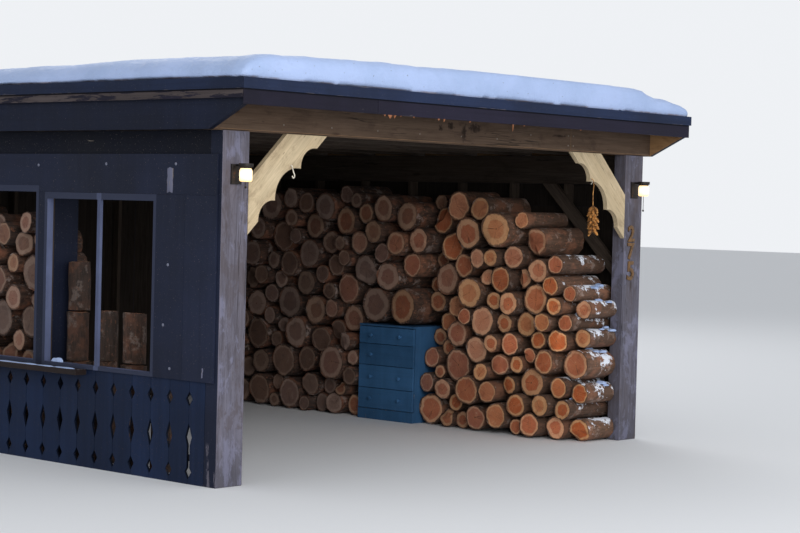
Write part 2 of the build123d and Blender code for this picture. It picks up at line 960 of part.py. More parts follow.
def make_round(x, y, z, radius, height, turn):
    """One round standing on end."""
    section = RegularPolygon(radius, round_sides, rotation=turn)
    return Pos(x, y, z) * extrude(section, amount=height)


def make_rounds():
    """Columns of rounds behind the front window; the one by the end board is the tallest."""
    generator = random.Random(round_seed)
    board_near = board_far - end_board_thickness
    rounds = []
    for column in range(round_columns):
        y = board_near - round_board_gap - round_radius - column * round_spacing
        z = 0.0
        for level in range(round_low_count if column else round_tall_count):
            x = left_face + round_inset + round_shift * (generator.random() - 0.5)
            radius = round_radius - round_girth_scatter * generator.random()
            height = round_length + round_length_scatter * (generator.random() - 0.5)
            rounds.append(make_round(x, y, z, radius, height, 7 * level))
            z += height + round_gap
    return rounds


save("standing_rounds", make_rounds())


# Chest of drawers, its front towards -X

chest_front = stack_inner_face - log_length
chest_back = chest_front + chest_depth


def make_carcass():
    """Sides, top, back, plinth and drawer runners in one."""
    body_front = chest_front + drawer_gap
    carcass = block(body_front, chest_back, chest_near, chest_far, 0, chest_height)
    inner_near = chest_near + chest_board
    inner_far = chest_far - chest_board
    carcass = carcass - block(body_front - 1, chest_back - chest_back_thickness, inner_near, inner_far,
                              chest_plinth_height, chest_height - chest_board)
    carcass = carcass - block(body_front + chest_board, chest_back - chest_back_thickness, inner_near, inner_far,
                              -1, chest_plinth_height - chest_board)
    carcass = carcass + block(chest_front - drawer_front_thickness, body_front, chest_near, chest_far,
                              chest_height - chest_board, chest_height)
    carcass = carcass + block(chest_front - drawer_front_thickness, body_front, chest_near, chest_far,
                              0, chest_plinth_height - drawer_gap)
    for index in range(1, len(drawer_spaces)):
        z_top = runner_level(index)
        for y0 in (inner_near, inner_far - runner_thickness):
            carcass = carcass + block(body_front, chest_back - chest_back_thickness, y0, y0 + runner_thickness,
                                      z_top - runner_height, z_top)
    return carcass


def runner_level(index):
    """Top of the runners, or of the bottom board, that carry one drawer counted from below."""
    return chest_plinth_height + sum(drawer_spaces[:index])


def make_drawer(index):
    """Drawer counted from below: an open box on its runners with an overlaid front and knobs."""
    z0 = runner_level(index) + runner_clearance
    inner_near = chest_near + chest_board + drawer_side_gap
    inner_far = chest_far - chest_board - drawer_side_gap
    x0 = chest_front
    x1 = chest_back - chest_back_thickness - drawer_back_space
    box = block(x0, x1, inner_near, inner_far, z0, z0 + drawer_box_height)
    box = box - block(x0 + drawer_board, x1 - drawer_board, inner_near + drawer_board, inner_far - drawer_board,
                      z0 + drawer_board, z0 + drawer_box_height + 1)
    front_low = runner_level(index)
    front_high = front_low + drawer_spaces[index] - drawer_gap
    front = block(x0 - drawer_front_thickness, x0, chest_near + drawer_gap, chest_far - drawer_gap,
                  front_low, front_high)
    drawer = front + box
    z = (front_low + front_high) / 2
    for y in (chest_near + knob_inset, chest_far - knob_inset):
        drawer = drawer + make_knob(x0 - drawer_front_thickness, y, z)
    return drawer


def make_knob(x, y, z):
    """Turned knob pointing towards -X, its neck rooted in the drawer front."""
    neck = extrude(RegularPolygon(knob_neck_radius, knob_sides), amount=knob_reach)
    head = Pos(0, 0, knob_reach - knob_head_thickness) * extrude(RegularPolygon(knob_radius, knob_sides),
                                                                  amount=knob_head_thickness)
    return Pos(x, y, z) * Rot(0, -90, 0) * (neck + head)


save("chest_carcass", make_carcass())
for number in range(len(drawer_spaces)):
    save(f"chest_drawer_{number + 1}", make_drawer(number))

total_logs = sum(len(logs) for logs in right_stacks.values()) + len(left_stack)
print("logs", total_logs, {name: len(logs) for name, logs in right_stacks.items()}, "left", len(left_stack))
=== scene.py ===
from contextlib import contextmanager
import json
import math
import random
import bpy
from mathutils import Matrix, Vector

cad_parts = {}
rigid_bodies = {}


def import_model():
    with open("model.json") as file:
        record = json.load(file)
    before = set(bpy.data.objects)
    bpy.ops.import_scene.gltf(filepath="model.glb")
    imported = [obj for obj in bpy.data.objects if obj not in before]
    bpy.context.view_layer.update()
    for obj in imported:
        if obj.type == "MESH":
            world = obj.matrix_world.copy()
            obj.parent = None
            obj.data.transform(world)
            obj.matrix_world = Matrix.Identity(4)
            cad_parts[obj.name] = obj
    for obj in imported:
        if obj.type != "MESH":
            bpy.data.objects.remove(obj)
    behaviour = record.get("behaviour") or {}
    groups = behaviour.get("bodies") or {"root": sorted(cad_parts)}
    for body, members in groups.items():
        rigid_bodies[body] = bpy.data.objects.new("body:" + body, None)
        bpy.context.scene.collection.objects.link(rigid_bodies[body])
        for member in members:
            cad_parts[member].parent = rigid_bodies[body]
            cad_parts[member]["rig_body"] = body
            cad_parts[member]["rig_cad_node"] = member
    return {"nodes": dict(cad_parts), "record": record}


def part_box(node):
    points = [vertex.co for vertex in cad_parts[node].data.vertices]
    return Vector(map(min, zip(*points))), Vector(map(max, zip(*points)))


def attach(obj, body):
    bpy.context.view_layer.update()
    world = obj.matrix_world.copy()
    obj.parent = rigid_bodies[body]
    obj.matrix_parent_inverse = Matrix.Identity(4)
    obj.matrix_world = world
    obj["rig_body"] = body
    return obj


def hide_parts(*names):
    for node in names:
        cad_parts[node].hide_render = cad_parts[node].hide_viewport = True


bl_info = {
    "name": "Log store",
    "version": (1, 0, 0),
    "blender": (4, 5, 0),
    "location": "3D View > Sidebar > Log store",
    "description": "Dresses the packed log store with weathered timber, paint, sawn logs and snow",
    "category": "Object",
}

import bpy
import numpy as np
from mathutils import Matrix, Vector

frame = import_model()

ROOT = "store"
# Corners nearer than WELD are one; faces that lean less than FLAT_ANGLE are one; edges past BEVEL_ANGLE are worn.
WELD = 0.00005
FLAT_ANGLE = math.radians(0.5)
BEVEL_ANGLE = math.radians(35)
# A face looks along a direction when this share of its normal does.
FACING = 0.9
# Degrees below which log and metal faces are shaded as one.
LOG_SMOOTHING = 38
METAL_SMOOTHING = 35
# How far a cutting tool reaches past a face, and how near two levels are the same.
CLEAR = 0.01
SAME_LEVEL = 0.0005
# Measures of the solids that the boxes of their nodes do not give.
RIM_THICKNESS = 0.038
RIM_PLACE = 2.3
BOARD_WIDTH = 0.19
SILL_LEVEL = 0.7


def paint(red, green, blue):
    """Linear colour of an 8-bit screen colour."""
    return tuple(((c / 255 + 0.055) / 1.055) ** 2.4 if c > 10 else c / 255 / 12.92 for c in (red, green, blue))


def toned(colour, level, red=1.0, green=1.0, blue=1.0):
    """Colour made darker or lighter, and warmer or cooler."""
    return tuple(min(1.0, part * level * share) for part, share in zip(colour, (red, green, blue)))


# Settings that a user would change

def number_setting(name, description, default, **more):
    return bpy.props.FloatProperty(name=name, description=description, default=default, **more)


def length_setting(name, description, default, low=0.0):
    return number_setting(name, description, default, min=low, unit="LENGTH", precision=4)


def share_setting(name, description, default):
    return number_setting(name, description, default, min=0.0, max=1.0, subtype="FACTOR")


def angle_setting(name, description, degrees):
    return number_setting(name, description, math.radians(degrees), subtype="ANGLE")


def colour_setting(name, description, default):
    return bpy.props.FloatVectorProperty(name=name, description=description, default=default, subtype="COLOR",
                                         size=3, min=0.0, max=1.0)


def count_setting(name, description, default, low=0):
    return bpy.props.IntProperty(name=name, description=description, default=default, min=low)


class TimberSettings(bpy.types.PropertyGroup):
    """Bare timber of the frame."""

    edge_round: length_setting("Edge rounding", "Worn arris of posts and beams", 0.005)
    thin_edge_round: length_setting("Thin edge rounding", "Worn arris of boards and studs", 0.0025)
    post_colour: colour_setting("Posts", "Weathered grey of the posts", paint(106, 103, 115))
    beam_colour: colour_setting("Beams", "Weathered brown-grey of the beams", paint(90, 73, 60))
    # The brackets' pale warm colour is partly their wood and partly painted light from the lanterns beside them.
    bracket_colour_with_lamp_light: colour_setting("Brackets", "Paler warm wood of the brackets", paint(210, 190, 156))
    # The inner timber's dark colour is partly its own wood and partly painted shade inside the store.
    inner_colour_with_shade: colour_setting("Inner frame", "Darker timber inside the store", paint(62, 53, 46))
    tail_cut: length_setting("Tail cut", "Height cut off the rafters' foot in front of the beams", 0.04)
    eaves_rise: length_setting("Eaves rise", "Side fascias' foot above the rafters' foot", 0.04)
    beam_rise: length_setting("Beam rise", "Beams' tops above the rafters' foot", 0.05)
    soffit_colour: colour_setting("Soffit boards", "Bare wood behind the eaves' boards", paint(170, 132, 92))
    splice_place: length_setting("Splice place", "Front beam's splice, from the middle", 1.342)
    splice_width: length_setting("Splice width", "Open joint of the splice", 0.003)


class PaintSettings(bpy.types.PropertyGroup):
    """Painted boards and sheets."""

    wall_colour: colour_setting("Walls", "Dark slate blue of the wall sheets", paint(30, 35, 52))
    fret_colour: colour_setting("Fretwork", "Bluer slate of the fretwork boards", paint(25, 37, 62))
    frame_colour: colour_setting("Window frames", "Lighter blue-grey", paint(92, 100, 130))
    strip_colour: colour_setting("Eave strips", "Blue of the roof's edge", paint(32, 41, 64))
    fascia_colour: colour_setting("Fascias", "Grey of the weathered fascias", paint(31, 29, 42))
    rim_colour: colour_setting("Rim boards", "Dark blue of the rim boards", paint(24, 29, 45))
    ledge_colour: colour_setting("Ledge", "Dark brown of the ledge", paint(46, 38, 37))
    chest_colour: colour_setting("Chest", "Mid blue of the chest of drawers", paint(50, 86, 122))
    bare_colour: colour_setting("Bare wood", "Wood where paint has worn off", paint(142, 132, 122))
    grey_bare_colour: colour_setting("Weathered bare wood", "Grey wood under worn paint", paint(112, 106, 108))
    edge_round: length_setting("Edge rounding", "Worn arris of painted boards", 0.0016)
    fascia_joint: length_setting("Fascia joint", "Front fascia's open joint, from the middle", -1.232, -2.4)
    board_gap: length_setting("Board gap", "Open joint between fretwork boards", 0.0022)


class LogSettings(bpy.types.PropertyGroup):
    """Stacked logs and rounds."""

    sides: count_setting("Sides", "Sides of each log", 24, 8)
    bark_share: share_setting("Bark", "Bark's thickness as a share of the log's radius", 0.075)
    waviness: share_setting("Waviness", "How far a log's outline is from a circle", 0.11)
    taper: share_setting("Taper", "How much thinner a log is at one end", 0.06)
    slant: share_setting("Slanted cuts", "How far the saw cuts lean", 0.16)
    turn: number_setting("Turn", "How far a log lies out of line", 0.02, subtype="ANGLE")
    chipped: share_setting("Chipped ends", "Share of the ends with a piece broken off", 0.14)
    # Cut ends run from bright colours at the open front to grey, dark ones deeper in: partly age, partly painted
    # light at the front and painted shade inside the store.
    age_and_shade_reach: length_setting("Fresh reach", "Run over which the cut ends grow greyer", 2.6)
    left_reach: length_setting("Left reach", "Far ends of the left stack's front logs, from the middle", -1.87, -2.4)
    lit_fresh_sapwood: colour_setting("Fresh sapwood", "Outer wood of newly cut ends", paint(242, 180, 124))
    lit_fresh_heart: colour_setting("Fresh heartwood", "Inner wood of newly cut ends", paint(214, 106, 48))
    old_shaded_sapwood: colour_setting("Old sapwood", "Outer wood of older ends", paint(134, 108, 92))
    old_shaded_heart: colour_setting("Old heartwood", "Inner wood of older ends", paint(100, 72, 58))
    # The bark's dark colour is partly its own and partly painted shade in the gaps between the logs.
    bark_colour_with_gap_shade: colour_setting("Bark", "Main colour of the bark", paint(74, 53, 43))
    seed: count_setting("Seed", "Chance number for the logs' shapes", 17)


class SnowSettings(bpy.types.PropertyGroup):
    """Snow on the roof and on the logs."""

    grain: length_setting("Mesh size", "Size of the snow's mesh", 0.036)
    wave_height: length_setting("Wave height", "Rise and fall of the snow's surface", 0.03)
    ripple_height: length_setting("Ripple height", "Small lumps on the snow", 0.006)
    colour: colour_setting("Snow", "White with a little blue", paint(170, 189, 228))


class LanternSettings(bpy.types.PropertyGroup):
    """Jar lanterns."""

    glow_colour: colour_setting("Glow", "Colour of the lit jars", (1.0, 0.62, 0.25))
    glow_strength: number_setting("Glow strength", "Strength of the lit jars", 1.3, min=0.0)
    metal_colour: colour_setting("Metal", "Dark metal of the lanterns", paint(48, 44, 42))


class StageSettings(bpy.types.PropertyGroup):
    """Camera, lamps and floor."""

    camera_place: bpy.props.FloatVectorProperty(name="Camera", description="Place of the camera", subtype="XYZ",
                                                unit="LENGTH", default=(-10.994, -11.786, 1.831))
    camera_yaw: angle_setting("Yaw", "Heading of the view from +X", 41.93)
    camera_pitch: angle_setting("Pitch", "Rise of the view", -1.692)
    camera_roll: angle_setting("Roll", "Lean of the camera", 1.457)
    camera_lens: number_setting("Lens", "Focal length on a 36 mm sensor", 89.4, unit="CAMERA")
    lamp_power: number_setting("Key lamp", "Power of the key lamp", 1250.0, unit="POWER")
    sky_strength: number_setting("Sky", "Strength of the even light", 0.6)
    floor_colour: colour_setting("Floor", "Pale floor", (0.8, 0.81, 0.83))


class LogStoreSettings(bpy.types.PropertyGroup):
    """All settings of the log store."""

    timber: bpy.props.PointerProperty(type=TimberSettings)
    paint: bpy.props.PointerProperty(type=PaintSettings)
    logs: bpy.props.PointerProperty(type=LogSettings)
    snow: bpy.props.PointerProperty(type=SnowSettings)
    lanterns: bpy.props.PointerProperty(type=LanternSettings)
    stage: bpy.props.PointerProperty(type=StageSettings)


# Selecting, copying and finishing pieces

def choose(piece, *others):
    """Select these pieces alone, the first one active."""
    bpy.ops.object.select_all(action="DESELECT")
    for item in (piece, *others):
        item.select_set(True)
    bpy.context.view_layer.objects.active = piece


def started(name, operator, **settings):
    """Piece that an add operator makes while nothing else is selected."""
    bpy.ops.object.select_all(action="DESELECT")
    operator(**settings)
    piece = bpy.context.view_layer.objects.active
    piece.name = name
    return piece


@contextmanager
def edit_mode(piece, faces=None, edges=None):
    """Edit mode with all selected, or the faces(centre, normal) or edges(first, second) that pass a test."""
    choose(piece)
    bpy.ops.object.mode_set(mode="EDIT")
    bpy.ops.mesh.select_mode(type="EDGE" if edges else "FACE")
    bpy.ops.mesh.select_all(action="DESELECT" if faces or edges else "SELECT")
    if faces or edges:
        bpy.ops.object.mode_set(mode="OBJECT")
        for face in piece.data.polygons if faces else ():
            face.select = faces(face.center, face.normal)
        points = piece.data.vertices
        for line in piece.data.edges if edges else ():
            line.select = edges(*(points[index].co for index in line.vertices))
        bpy.ops.object.mode_set(mode="EDIT")
    yield
    bpy.ops.object.mode_set(mode="OBJECT")


def apply_modifier(piece, kind, **settings):
    """Add one modifier and apply it."""
    choose(piece)
    modifier = piece.modifiers.new(kind.title(), kind)
    for key, value in settings.items():
        setattr(modifier, key, value)
    bpy.ops.object.modifier_apply(modifier=modifier.name)


def round_edges(piece, width, material=-1):
    apply_modifier(piece, "BEVEL", width=width, segments=2, limit_method="ANGLE", angle_limit=BEVEL_ANGLE,
                   material=material)


def place_piece(piece, matrix=None):
    """Put a piece's place, turn and scale, or the ones given, into its mesh."""
    if matrix is not None:
        piece.matrix_world = matrix
    choose(piece)
    bpy.ops.object.transform_apply(location=True, rotation=True, scale=True)


def outward(piece, weld=0.0):
    """Merge doubles where asked, and turn every face outwards."""
    with edit_mode(piece):
        if weld:
            bpy.ops.mesh.remove_doubles(threshold=weld)
        bpy.ops.mesh.normals_make_consistent(inside=False)


def smooth(piece, degrees):
    choose(piece)
    bpy.ops.object.shade_smooth_by_angle(angle=math.radians(degrees))


def smooth_arrises(piece, degrees=30):
    """Smooth shading in which broad faces stay flat beside their rounded arrises."""
    smooth(piece, degrees)
    apply_modifier(piece, "WEIGHTED_NORMAL", keep_sharp=True, weight=60)


def mesh_copy(model, name):
    """Copy of a modelled piece with its own mesh."""
    piece = model.copy()
    piece.data = model.data.copy()
    piece.name = name
    bpy.context.scene.collection.objects.link(piece)
    return piece


def node_copy(node, name):
    """Free copy of a CAD node with its loose triangles merged into plain faces."""
    source = frame["nodes"][node]
    piece = mesh_copy(source, name)
    piece.parent = None
    piece.matrix_world = source.matrix_world.copy()
    piece.hide_render = piece.hide_viewport = False
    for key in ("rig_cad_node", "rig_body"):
        if key in piece:
            del piece[key]
    piece.data.name = name
    piece.data.materials.clear()
    choose(piece)
    bpy.ops.mesh.customdata_custom_splitnormals_clear()
    with edit_mode(piece):
        bpy.ops.mesh.remove_doubles(threshold=WELD)
        bpy.ops.mesh.dissolve_limited(angle_limit=FLAT_ANGLE)
    return piece


def discard(piece):
    bpy.data.objects.remove(piece, do_unlink=True)


def join(pieces, name):
    choose(*pieces)
    if len(pieces) > 1:
        bpy.ops.object.join()
    piece = bpy.context.view_layer.objects.active
    piece.name = piece.data.name = name
    return piece


def coordinates(piece):
    """Vertex places as rows of three numbers."""
    values = np.empty(len(piece.data.vertices) * 3)
    piece.data.vertices.foreach_get("co", values)
    return values.reshape(-1, 3)


@contextmanager
def reshaped(piece):
    """Vertex places to change in place; they go back into the mesh afterwards."""
    places = coordinates(piece)
    yield places
    piece.data.vertices.foreach_set("co", places.ravel())
    piece.data.update()


def moved(piece, matrix):
    """Move a mesh by a matrix, its object left at the origin."""
    with reshaped(piece) as places:
        places[:] = np.array([matrix @ Vector(place) for place in places])


def above_ground(piece):
    with reshaped(piece) as places:
        places[:, 2] = np.maximum(places[:, 2], 0.0)


def loose_parts(piece):
    """Vertex numbers of each separate part of a mesh."""
    owner = list(range(len(piece.data.vertices)))

    def root(index):
        while owner[index] != index:
            owner[index] = owner[owner[index]]
            index = owner[index]
        return index

    for line in piece.data.edges:
        first, second = root(line.vertices[0]), root(line.vertices[1])
        if first != second:
            owner[first] = second
    groups = {}
    for index in range(len(owner)):
        groups.setdefault(root(index), []).append(index)
    return [np.array(group) for group in groups.values()]


def node_parts(node):
    """Vertex places of each solid of a CAD node, in a steady order."""
    piece = node_copy(node, "measured_" + node)
    places = coordinates(piece)
    parts = [places[group] for group in loose_parts(piece)]
    discard(piece)
    return sorted(parts, key=lambda part: tuple(np.round(part.mean(0), 4)))


def set_vectors(piece, name, values):
    """Store one vector for each vertex."""
    layer = piece.data.attributes.new(name, "FLOAT_VECTOR", "POINT")
    layer.data.foreach_set("vector", np.asarray(values, np.float32).ravel())


def mark_grain(piece, seed, along=None):
    """Give each board its own grain: a place measured along the board, and a tone of its own."""
    chance = random.Random(seed)
    places = coordinates(piece)
    grain, tones = np.zeros_like(places), np.zeros_like(places)
    for group in loose_parts(piece):
        part = places[group]
        if along is None:
            axis = int(np.argmax(part.max(0) - part.min(0)))
            board_axes = np.eye(3)[[axis] + [index for index in range(3) if index != axis]]
        else:
            first = Vector(along).normalized()
            second = first.orthogonal().normalized()
            board_axes = np.array([first, second, first.cross(second)])
        grain[group] = part @ board_axes.T + np.array([chance.uniform(-40, 40) for _ in range(3)])
        tones[group] = (chance.random(), chance.random(), chance.random())
    set_vectors(piece, "grain_place", grain)
    set_vectors(piece, "board_tone", tones)


def stand_for(piece, node, body=ROOT):
    """Hang a finished piece on its body in place of a CAD node, and hide the node."""
    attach(piece, body)
    next(part["material_slot"] for part in frame["record"]["subparts"] if part["node"] == node)
    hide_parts(node)
    return piece


def add_on(piece, finish, degrees=None):
    """Give an extra piece its finish and hang it on the store."""
    piece.data.materials.append(finish)
    if degrees:
        smooth(piece, degrees)
    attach(piece, ROOT)


def dressed_boards(node, suffix, finishes, edge_round, seed, along=None, adder=None, cutter=None, adjust=None):
    """Copy of a node made of boards, with worn edges, its own grain, and finishes for faces and edges."""
    piece = node_copy(node, f"{node}_{suffix}")
    for operation, tool in (("UNION", adder), ("DIFFERENCE", cutter)):
        if tool is not None:
            apply_modifier(piece, "BOOLEAN", operation=operation, solver="EXACT", object=tool)
            discard(tool)
    if adjust is not None:
        adjust(piece)
    for finish in finishes:
        piece.data.materials.append(finish)
    round_edges(piece, edge_round, 1)
    above_ground(piece)
    mark_grain(piece, seed, along)
    smooth_arrises(piece)
    return stand_for(piece, node)


def paint_faces(piece, finish, wanted, plain_only=True):
    """Add a finish for the faces, edges left out, for which wanted(centre, normal) is true."""
    piece.data.materials.append(finish)
    for face in piece.data.polygons:
        if (face.material_index == 0 or not plain_only) and wanted(face.center, face.normal):
            face.material_index = len(piece.data.materials) - 1


def close_joints(piece, lap=0.0012, edge=0.0001):
    """Bring neighbouring sheets together, so that no light shows between them."""
    with reshaped(piece) as places:
        low, high = places.min(0), places.max(0)
        thin = int(np.argmin(high - low))
        for group in loose_parts(piece):
            part = places[group]
            for axis in range(3):
                if axis != thin:
                    part[part[:, axis] < part[:, axis].min() + edge, axis] -= lap
                    part[part[:, axis] > part[:, axis].max() - edge, axis] += lap
            places[group] = np.clip(part, low, high)


def slim_mullion(piece, half_width=0.03, cut=0.0075):
    """Slimmer mullion in the middle of a window frame."""
    with reshaped(piece) as places:
        off_middle = places[:, 1] - (places[:, 1].min() + places[:, 1].max()) / 2
        mullion = np.abs(off_middle) < half_width
        places[mullion, 1] -= np.sign(off_middle[mullion]) * cut


def lifted(level, rise, beyond=0.0, along_y=False):
    """Way to lift the corners at a level, in the loose parts beyond a distance from the middle or along Y."""
    def adjust(piece):
        with reshaped(piece) as places:
            for group in loose_parts(piece):
                part = places[group]
                run = part.max(0) - part.min(0)
                if np.abs(part[:, 0]).min() >= beyond and (run[1] > run[0] or not along_y):
                    part[np.abs(part[:, 2] - level) < SAME_LEVEL, 2] += rise
                    places[group] = part
    return adjust


def block(name, low, high):
    """Box between two corners."""
    low, high = Vector(low), Vector(high)
    piece = started(name, bpy.ops.mesh.primitive_cube_add, size=1, location=(low + high) / 2)
    piece.scale = high - low
    place_piece(piece)
    return piece


def blocks(name, boxes):
    """Several boxes joined into one tool."""
    return join([block(f"{name}_{index}", low, high) for index, (low, high) in enumerate(boxes)], name)


def turned(name, profile, sides):
    """Solid turned about Z: a disc extruded and resized from step to step of a (radius, height) profile."""
    radius, height = profile[0]
    piece = started(name, bpy.ops.mesh.primitive_circle_add, vertices=sides, radius=radius, fill_type="NGON",
                    location=(0, 0, height))
    place_piece(piece)
    with edit_mode(piece):
        for next_radius, next_height in profile[1:]:
            bpy.ops.mesh.extrude_region_move(TRANSFORM_OT_translate={"value": (0, 0, next_height - height)})
            share = next_radius / radius
            bpy.ops.transform.resize(value=(share, share, 1), center_override=(0, 0, next_height))
            radius, height = next_radius, next_height
        bpy.ops.mesh.select_all(action="SELECT")
        bpy.ops.mesh.normals_make_consistent(inside=False)
    return piece


def wire(name, points, radius):
    """Round wire along a smooth curve, made a mesh."""
    curve = started(name, bpy.ops.curve.primitive_bezier_curve_add).data
    curve.splines.clear()
    line = curve.splines.new("BEZIER")
    line.bezier_points.add(len(points) - 1)
    for knot, place in zip(line.bezier_points, points):
        knot.co = place
        knot.handle_left_type = knot.handle_right_type = "AUTO"
    curve.dimensions = "3D"
    curve.resolution_u = 6
    curve.bevel_depth = radius
    curve.bevel_resolution = 3
    curve.use_fill_caps = True
    bpy.context.view_layer.objects.active.matrix_world = Matrix.Identity(4)
    bpy.ops.object.convert(target="MESH")
    piece = bpy.context.view_layer.objects.active
    piece.name = name
    outward(piece, WELD)
    smooth(piece, 50)
    return piece


# Finishes

class Field:
    """What a node gives, so that a material's sums read as sums."""

    def __init__(self, finish, socket):
        self.finish, self.socket = finish, socket

    def __add__(self, other):
        return self.finish.maths("ADD", self, other)

    def __sub__(self, other):
        return self.finish.maths("SUBTRACT", self, other)

    def __rsub__(self, other):
        return self.finish.maths("SUBTRACT", other, self)

    def __mul__(self, other):
        return self.finish.maths("MULTIPLY", self, other)

    def __abs__(self):
        return self.finish.maths("ABSOLUTE", self)

    def fit(self, low, high, start=0.0, end=1.0):
        """Value from low to high brought to start to end."""
        return self.finish.add("MapRange", {"Value": self, "From Min": low, "From Max": high, "To Min": start,
                                            "To Max": end}, interpolation_type="SMOOTHSTEP")


class Finish:
    """Nodes of one material, added from left to right, and the colour that they have come to."""

    def __init__(self, name, roughness=0.8, shine=0.5):
        self.material = bpy.data.materials.new(name)
        self.material.use_nodes = True
        self.tree = self.material.node_tree
        self.shader = self.tree.nodes["Principled BSDF"]
        self.shader.inputs["Roughness"].default_value = roughness
        self.shader.inputs["Specular IOR Level"].default_value = shine
        self.place = self.add("TexCoord", {}, "Object")
        self.colour = None

    def feed(self, socket, value):
        """Link a field to a socket, or set a number, vector or colour on it."""
        if isinstance(value, Field):
            self.tree.links.new(value.socket, socket)
        else:
            socket.default_value = (*value, 1.0) if socket.type == "RGBA" else value

    def node(self, kind, inputs, **settings):
        """Add a node, set its options and feed its inputs."""
        made = self.tree.nodes.new("ShaderNode" + kind)
        count = len(self.tree.nodes)
        made.location = (60 * count - 2400, 300 - 90 * (count % 9))
        for key, value in settings.items():
            setattr(made, key, value)
        for key, value in inputs.items():
            self.feed(made.inputs[key], value)
        return made

    def add(self, kind, inputs, out=0, **settings):
        return Field(self, self.node(kind, inputs, **settings).outputs[out])

    def stored(self, name):
        return self.add("Attribute", {}, "Vector", attribute_name=name)

    def parts(self, vector):
        return [Field(self, socket) for socket in self.node("SeparateXYZ", {0: vector}).outputs]

    def joined(self, *parts):
        return self.add("CombineXYZ", dict(enumerate(parts)))

    def pattern(self, kind, place, scale, **inputs):
        """Texture at one scale, or stretched by a scale for each axis."""
        if isinstance(scale, tuple):
            place, scale = self.add("Mapping", {"Vector": place, "Scale": scale}), 1.0
        return self.add(kind, {"Vector": place, "Scale": scale, **inputs})

    def noise(self, place, scale, detail=4.0, roughness=0.55, distortion=0.0):
        return self.pattern("TexNoise", place, scale, Detail=detail, Roughness=roughness, Distortion=distortion)

    def cells(self, place, scale):
        return self.pattern("TexVoronoi", place, scale)

    def away(self, place, centre, size):
        """Distance from a centre, in shares of a size along each axis."""
        offset = self.add("VectorMath", {0: place, 1: centre}, operation="SUBTRACT")
        shares = self.add("VectorMath", {0: offset, 1: tuple(1 / part for part in size)}, operation="MULTIPLY")
        return self.add("VectorMath", {0: shares}, "Value", operation="LENGTH")

    def maths(self, operation, first, second=0.0):
        return self.add("Math", {0: first, 1: second}, operation=operation)

    def mix(self, share, first, second, kind="MIX"):
        """Mix of two colours."""
        return self.add("Mix", {0: share, 6: first, 7: second}, 2, data_type="RGBA", blend_type=kind)

    def base(self, share, first, second):
        """Start from a mix of two colours."""
        self.colour = self.mix(share, first, second)

    def coat(self, *coats):
        """Lay colours over what is there, each by its share."""
        for share, colour in coats:
            self.colour = self.mix(share, self.colour, colour)

    def vary(self, share, low, high):
        """Make the colour darker or lighter by a share between low and high."""
        level = share.fit(0.0, 1.0, low, high)
        grey = self.add("CombineColor", {0: level, 1: level, 2: level})
        self.colour = self.mix(1.0, self.colour, grey, "MULTIPLY")

    def relief(self, height, distance, under=None):
        inputs = {"Height": height, "Strength": 1.0, "Distance": distance}
        return self.add("Bump", inputs if under is None else {**inputs, "Normal": under})

    def done(self, roughness=None, normal=None):
        """Feed the shader and hand over the material."""
        for key, value in (("Base Color", self.colour), ("Roughness", roughness), ("Normal", normal)):
            if value is not None:
                self.feed(self.shader.inputs[key], value)
        return self.material


def bare_timber(name, colour, wear=0.5, damp=True, contrast=1.0, patches=0.0, marks=()):
    """Weathered timber: grain, stains, drying cracks, knots, dark marks and a damp foot."""
    look = Finish(name, 0.85, 0.2)
    board = look.stored("grain_place")
    grain = look.noise(board, (2.2, 44.0, 44.0), 6.0, 0.65, 1.2)
    fibres = look.noise(board, (7.0, 240.0, 240.0), 3.0, 0.6)
    streaks = look.noise(board, (0.6, 9.0, 9.0), 4.0, 0.55, 0.3)
    blotches = look.noise(board, (3.4, 11.0, 11.0), 7.0, 0.72, 0.6)
    knots, spots = look.cells(board, (1.5, 5.5, 5.5)), look.cells(board, (6.0, 22.0, 22.0))
    cracks = 1.0 - abs(look.noise(board, (0.8, 26.0, 26.0), 2.0, 0.5, 0.2) - 0.5).fit(0.0, 0.012)
    cracks = cracks * look.noise(board, (1.1, 5.0, 5.0), 2.0).fit(0.5, 0.62)
    look.base(grain.fit(0.3, 0.7), toned(colour, 1 - 0.38 * contrast), toned(colour, 1 + 0.2 * contrast))
    look.coat((streaks.fit(0.42, 0.68, 0.0, 0.5 * contrast), toned(colour, 0.72, 1.12, 1.0, 0.86)),
              (fibres.fit(0.35, 0.65, 0.0, 0.22 * contrast), toned(colour, 0.5)),
              (blotches.fit(0.5, 0.66, 0.0, 0.6), toned(colour, 0.46, 1.08, 1.0, 0.94)),
              (spots.fit(0.05, 0.11, 0.6, 0.0), toned(colour, 0.3, 1.1, 1.0, 0.9)),
              (look.noise(look.place, 2.3, 5.0, 0.65).fit(0.5, 0.72, 0.0, wear),
               toned(colour, 1.35, 0.97, 1.0, 1.05)),
              (knots.fit(0.05, 0.11, 1.0, 0.0), toned(colour, 0.32, 1.25, 1.0, 0.8)),
              (cracks * 0.85, toned(colour, 0.16)))
    look.vary(look.parts(look.stored("board_tone"))[0], 0.8, 1.14)
    if damp:
        splash = look.parts(look.place)[2] + look.noise(look.place, 6.0) * 0.25
        look.coat((splash.fit(0.14, 0.42, 0.6, 0.0), toned(colour, 0.42, 0.95)))
    if patches:
        pale = look.noise(look.place, (5.0, 5.0, 2.6), 7.0, 0.72, 0.4)
        look.coat((pale.fit(0.52, 0.6, 0.0, patches), toned(colour, 1.5, 0.94, 1.0, 1.14)),
                  (pale.fit(0.4, 0.47, patches, 0.0), toned(colour, 0.5, 1.16, 1.0, 0.84)))
    for centre, size in marks:
        ragged = look.away(look.place, centre, size) + look.noise(look.place, 42.0, 5.0, 0.75) * 3.0
        look.coat((ragged.fit(1.8, 2.6, 0.95, 0.0), toned(colour, 0.14, 1.2, 1.0, 0.9)))
    height = grain * 0.6 + fibres * 0.3 - cracks * 1.6
    return look.done(grain.fit(0.3, 0.7, 0.92, 0.72), look.relief(height, 0.0022))


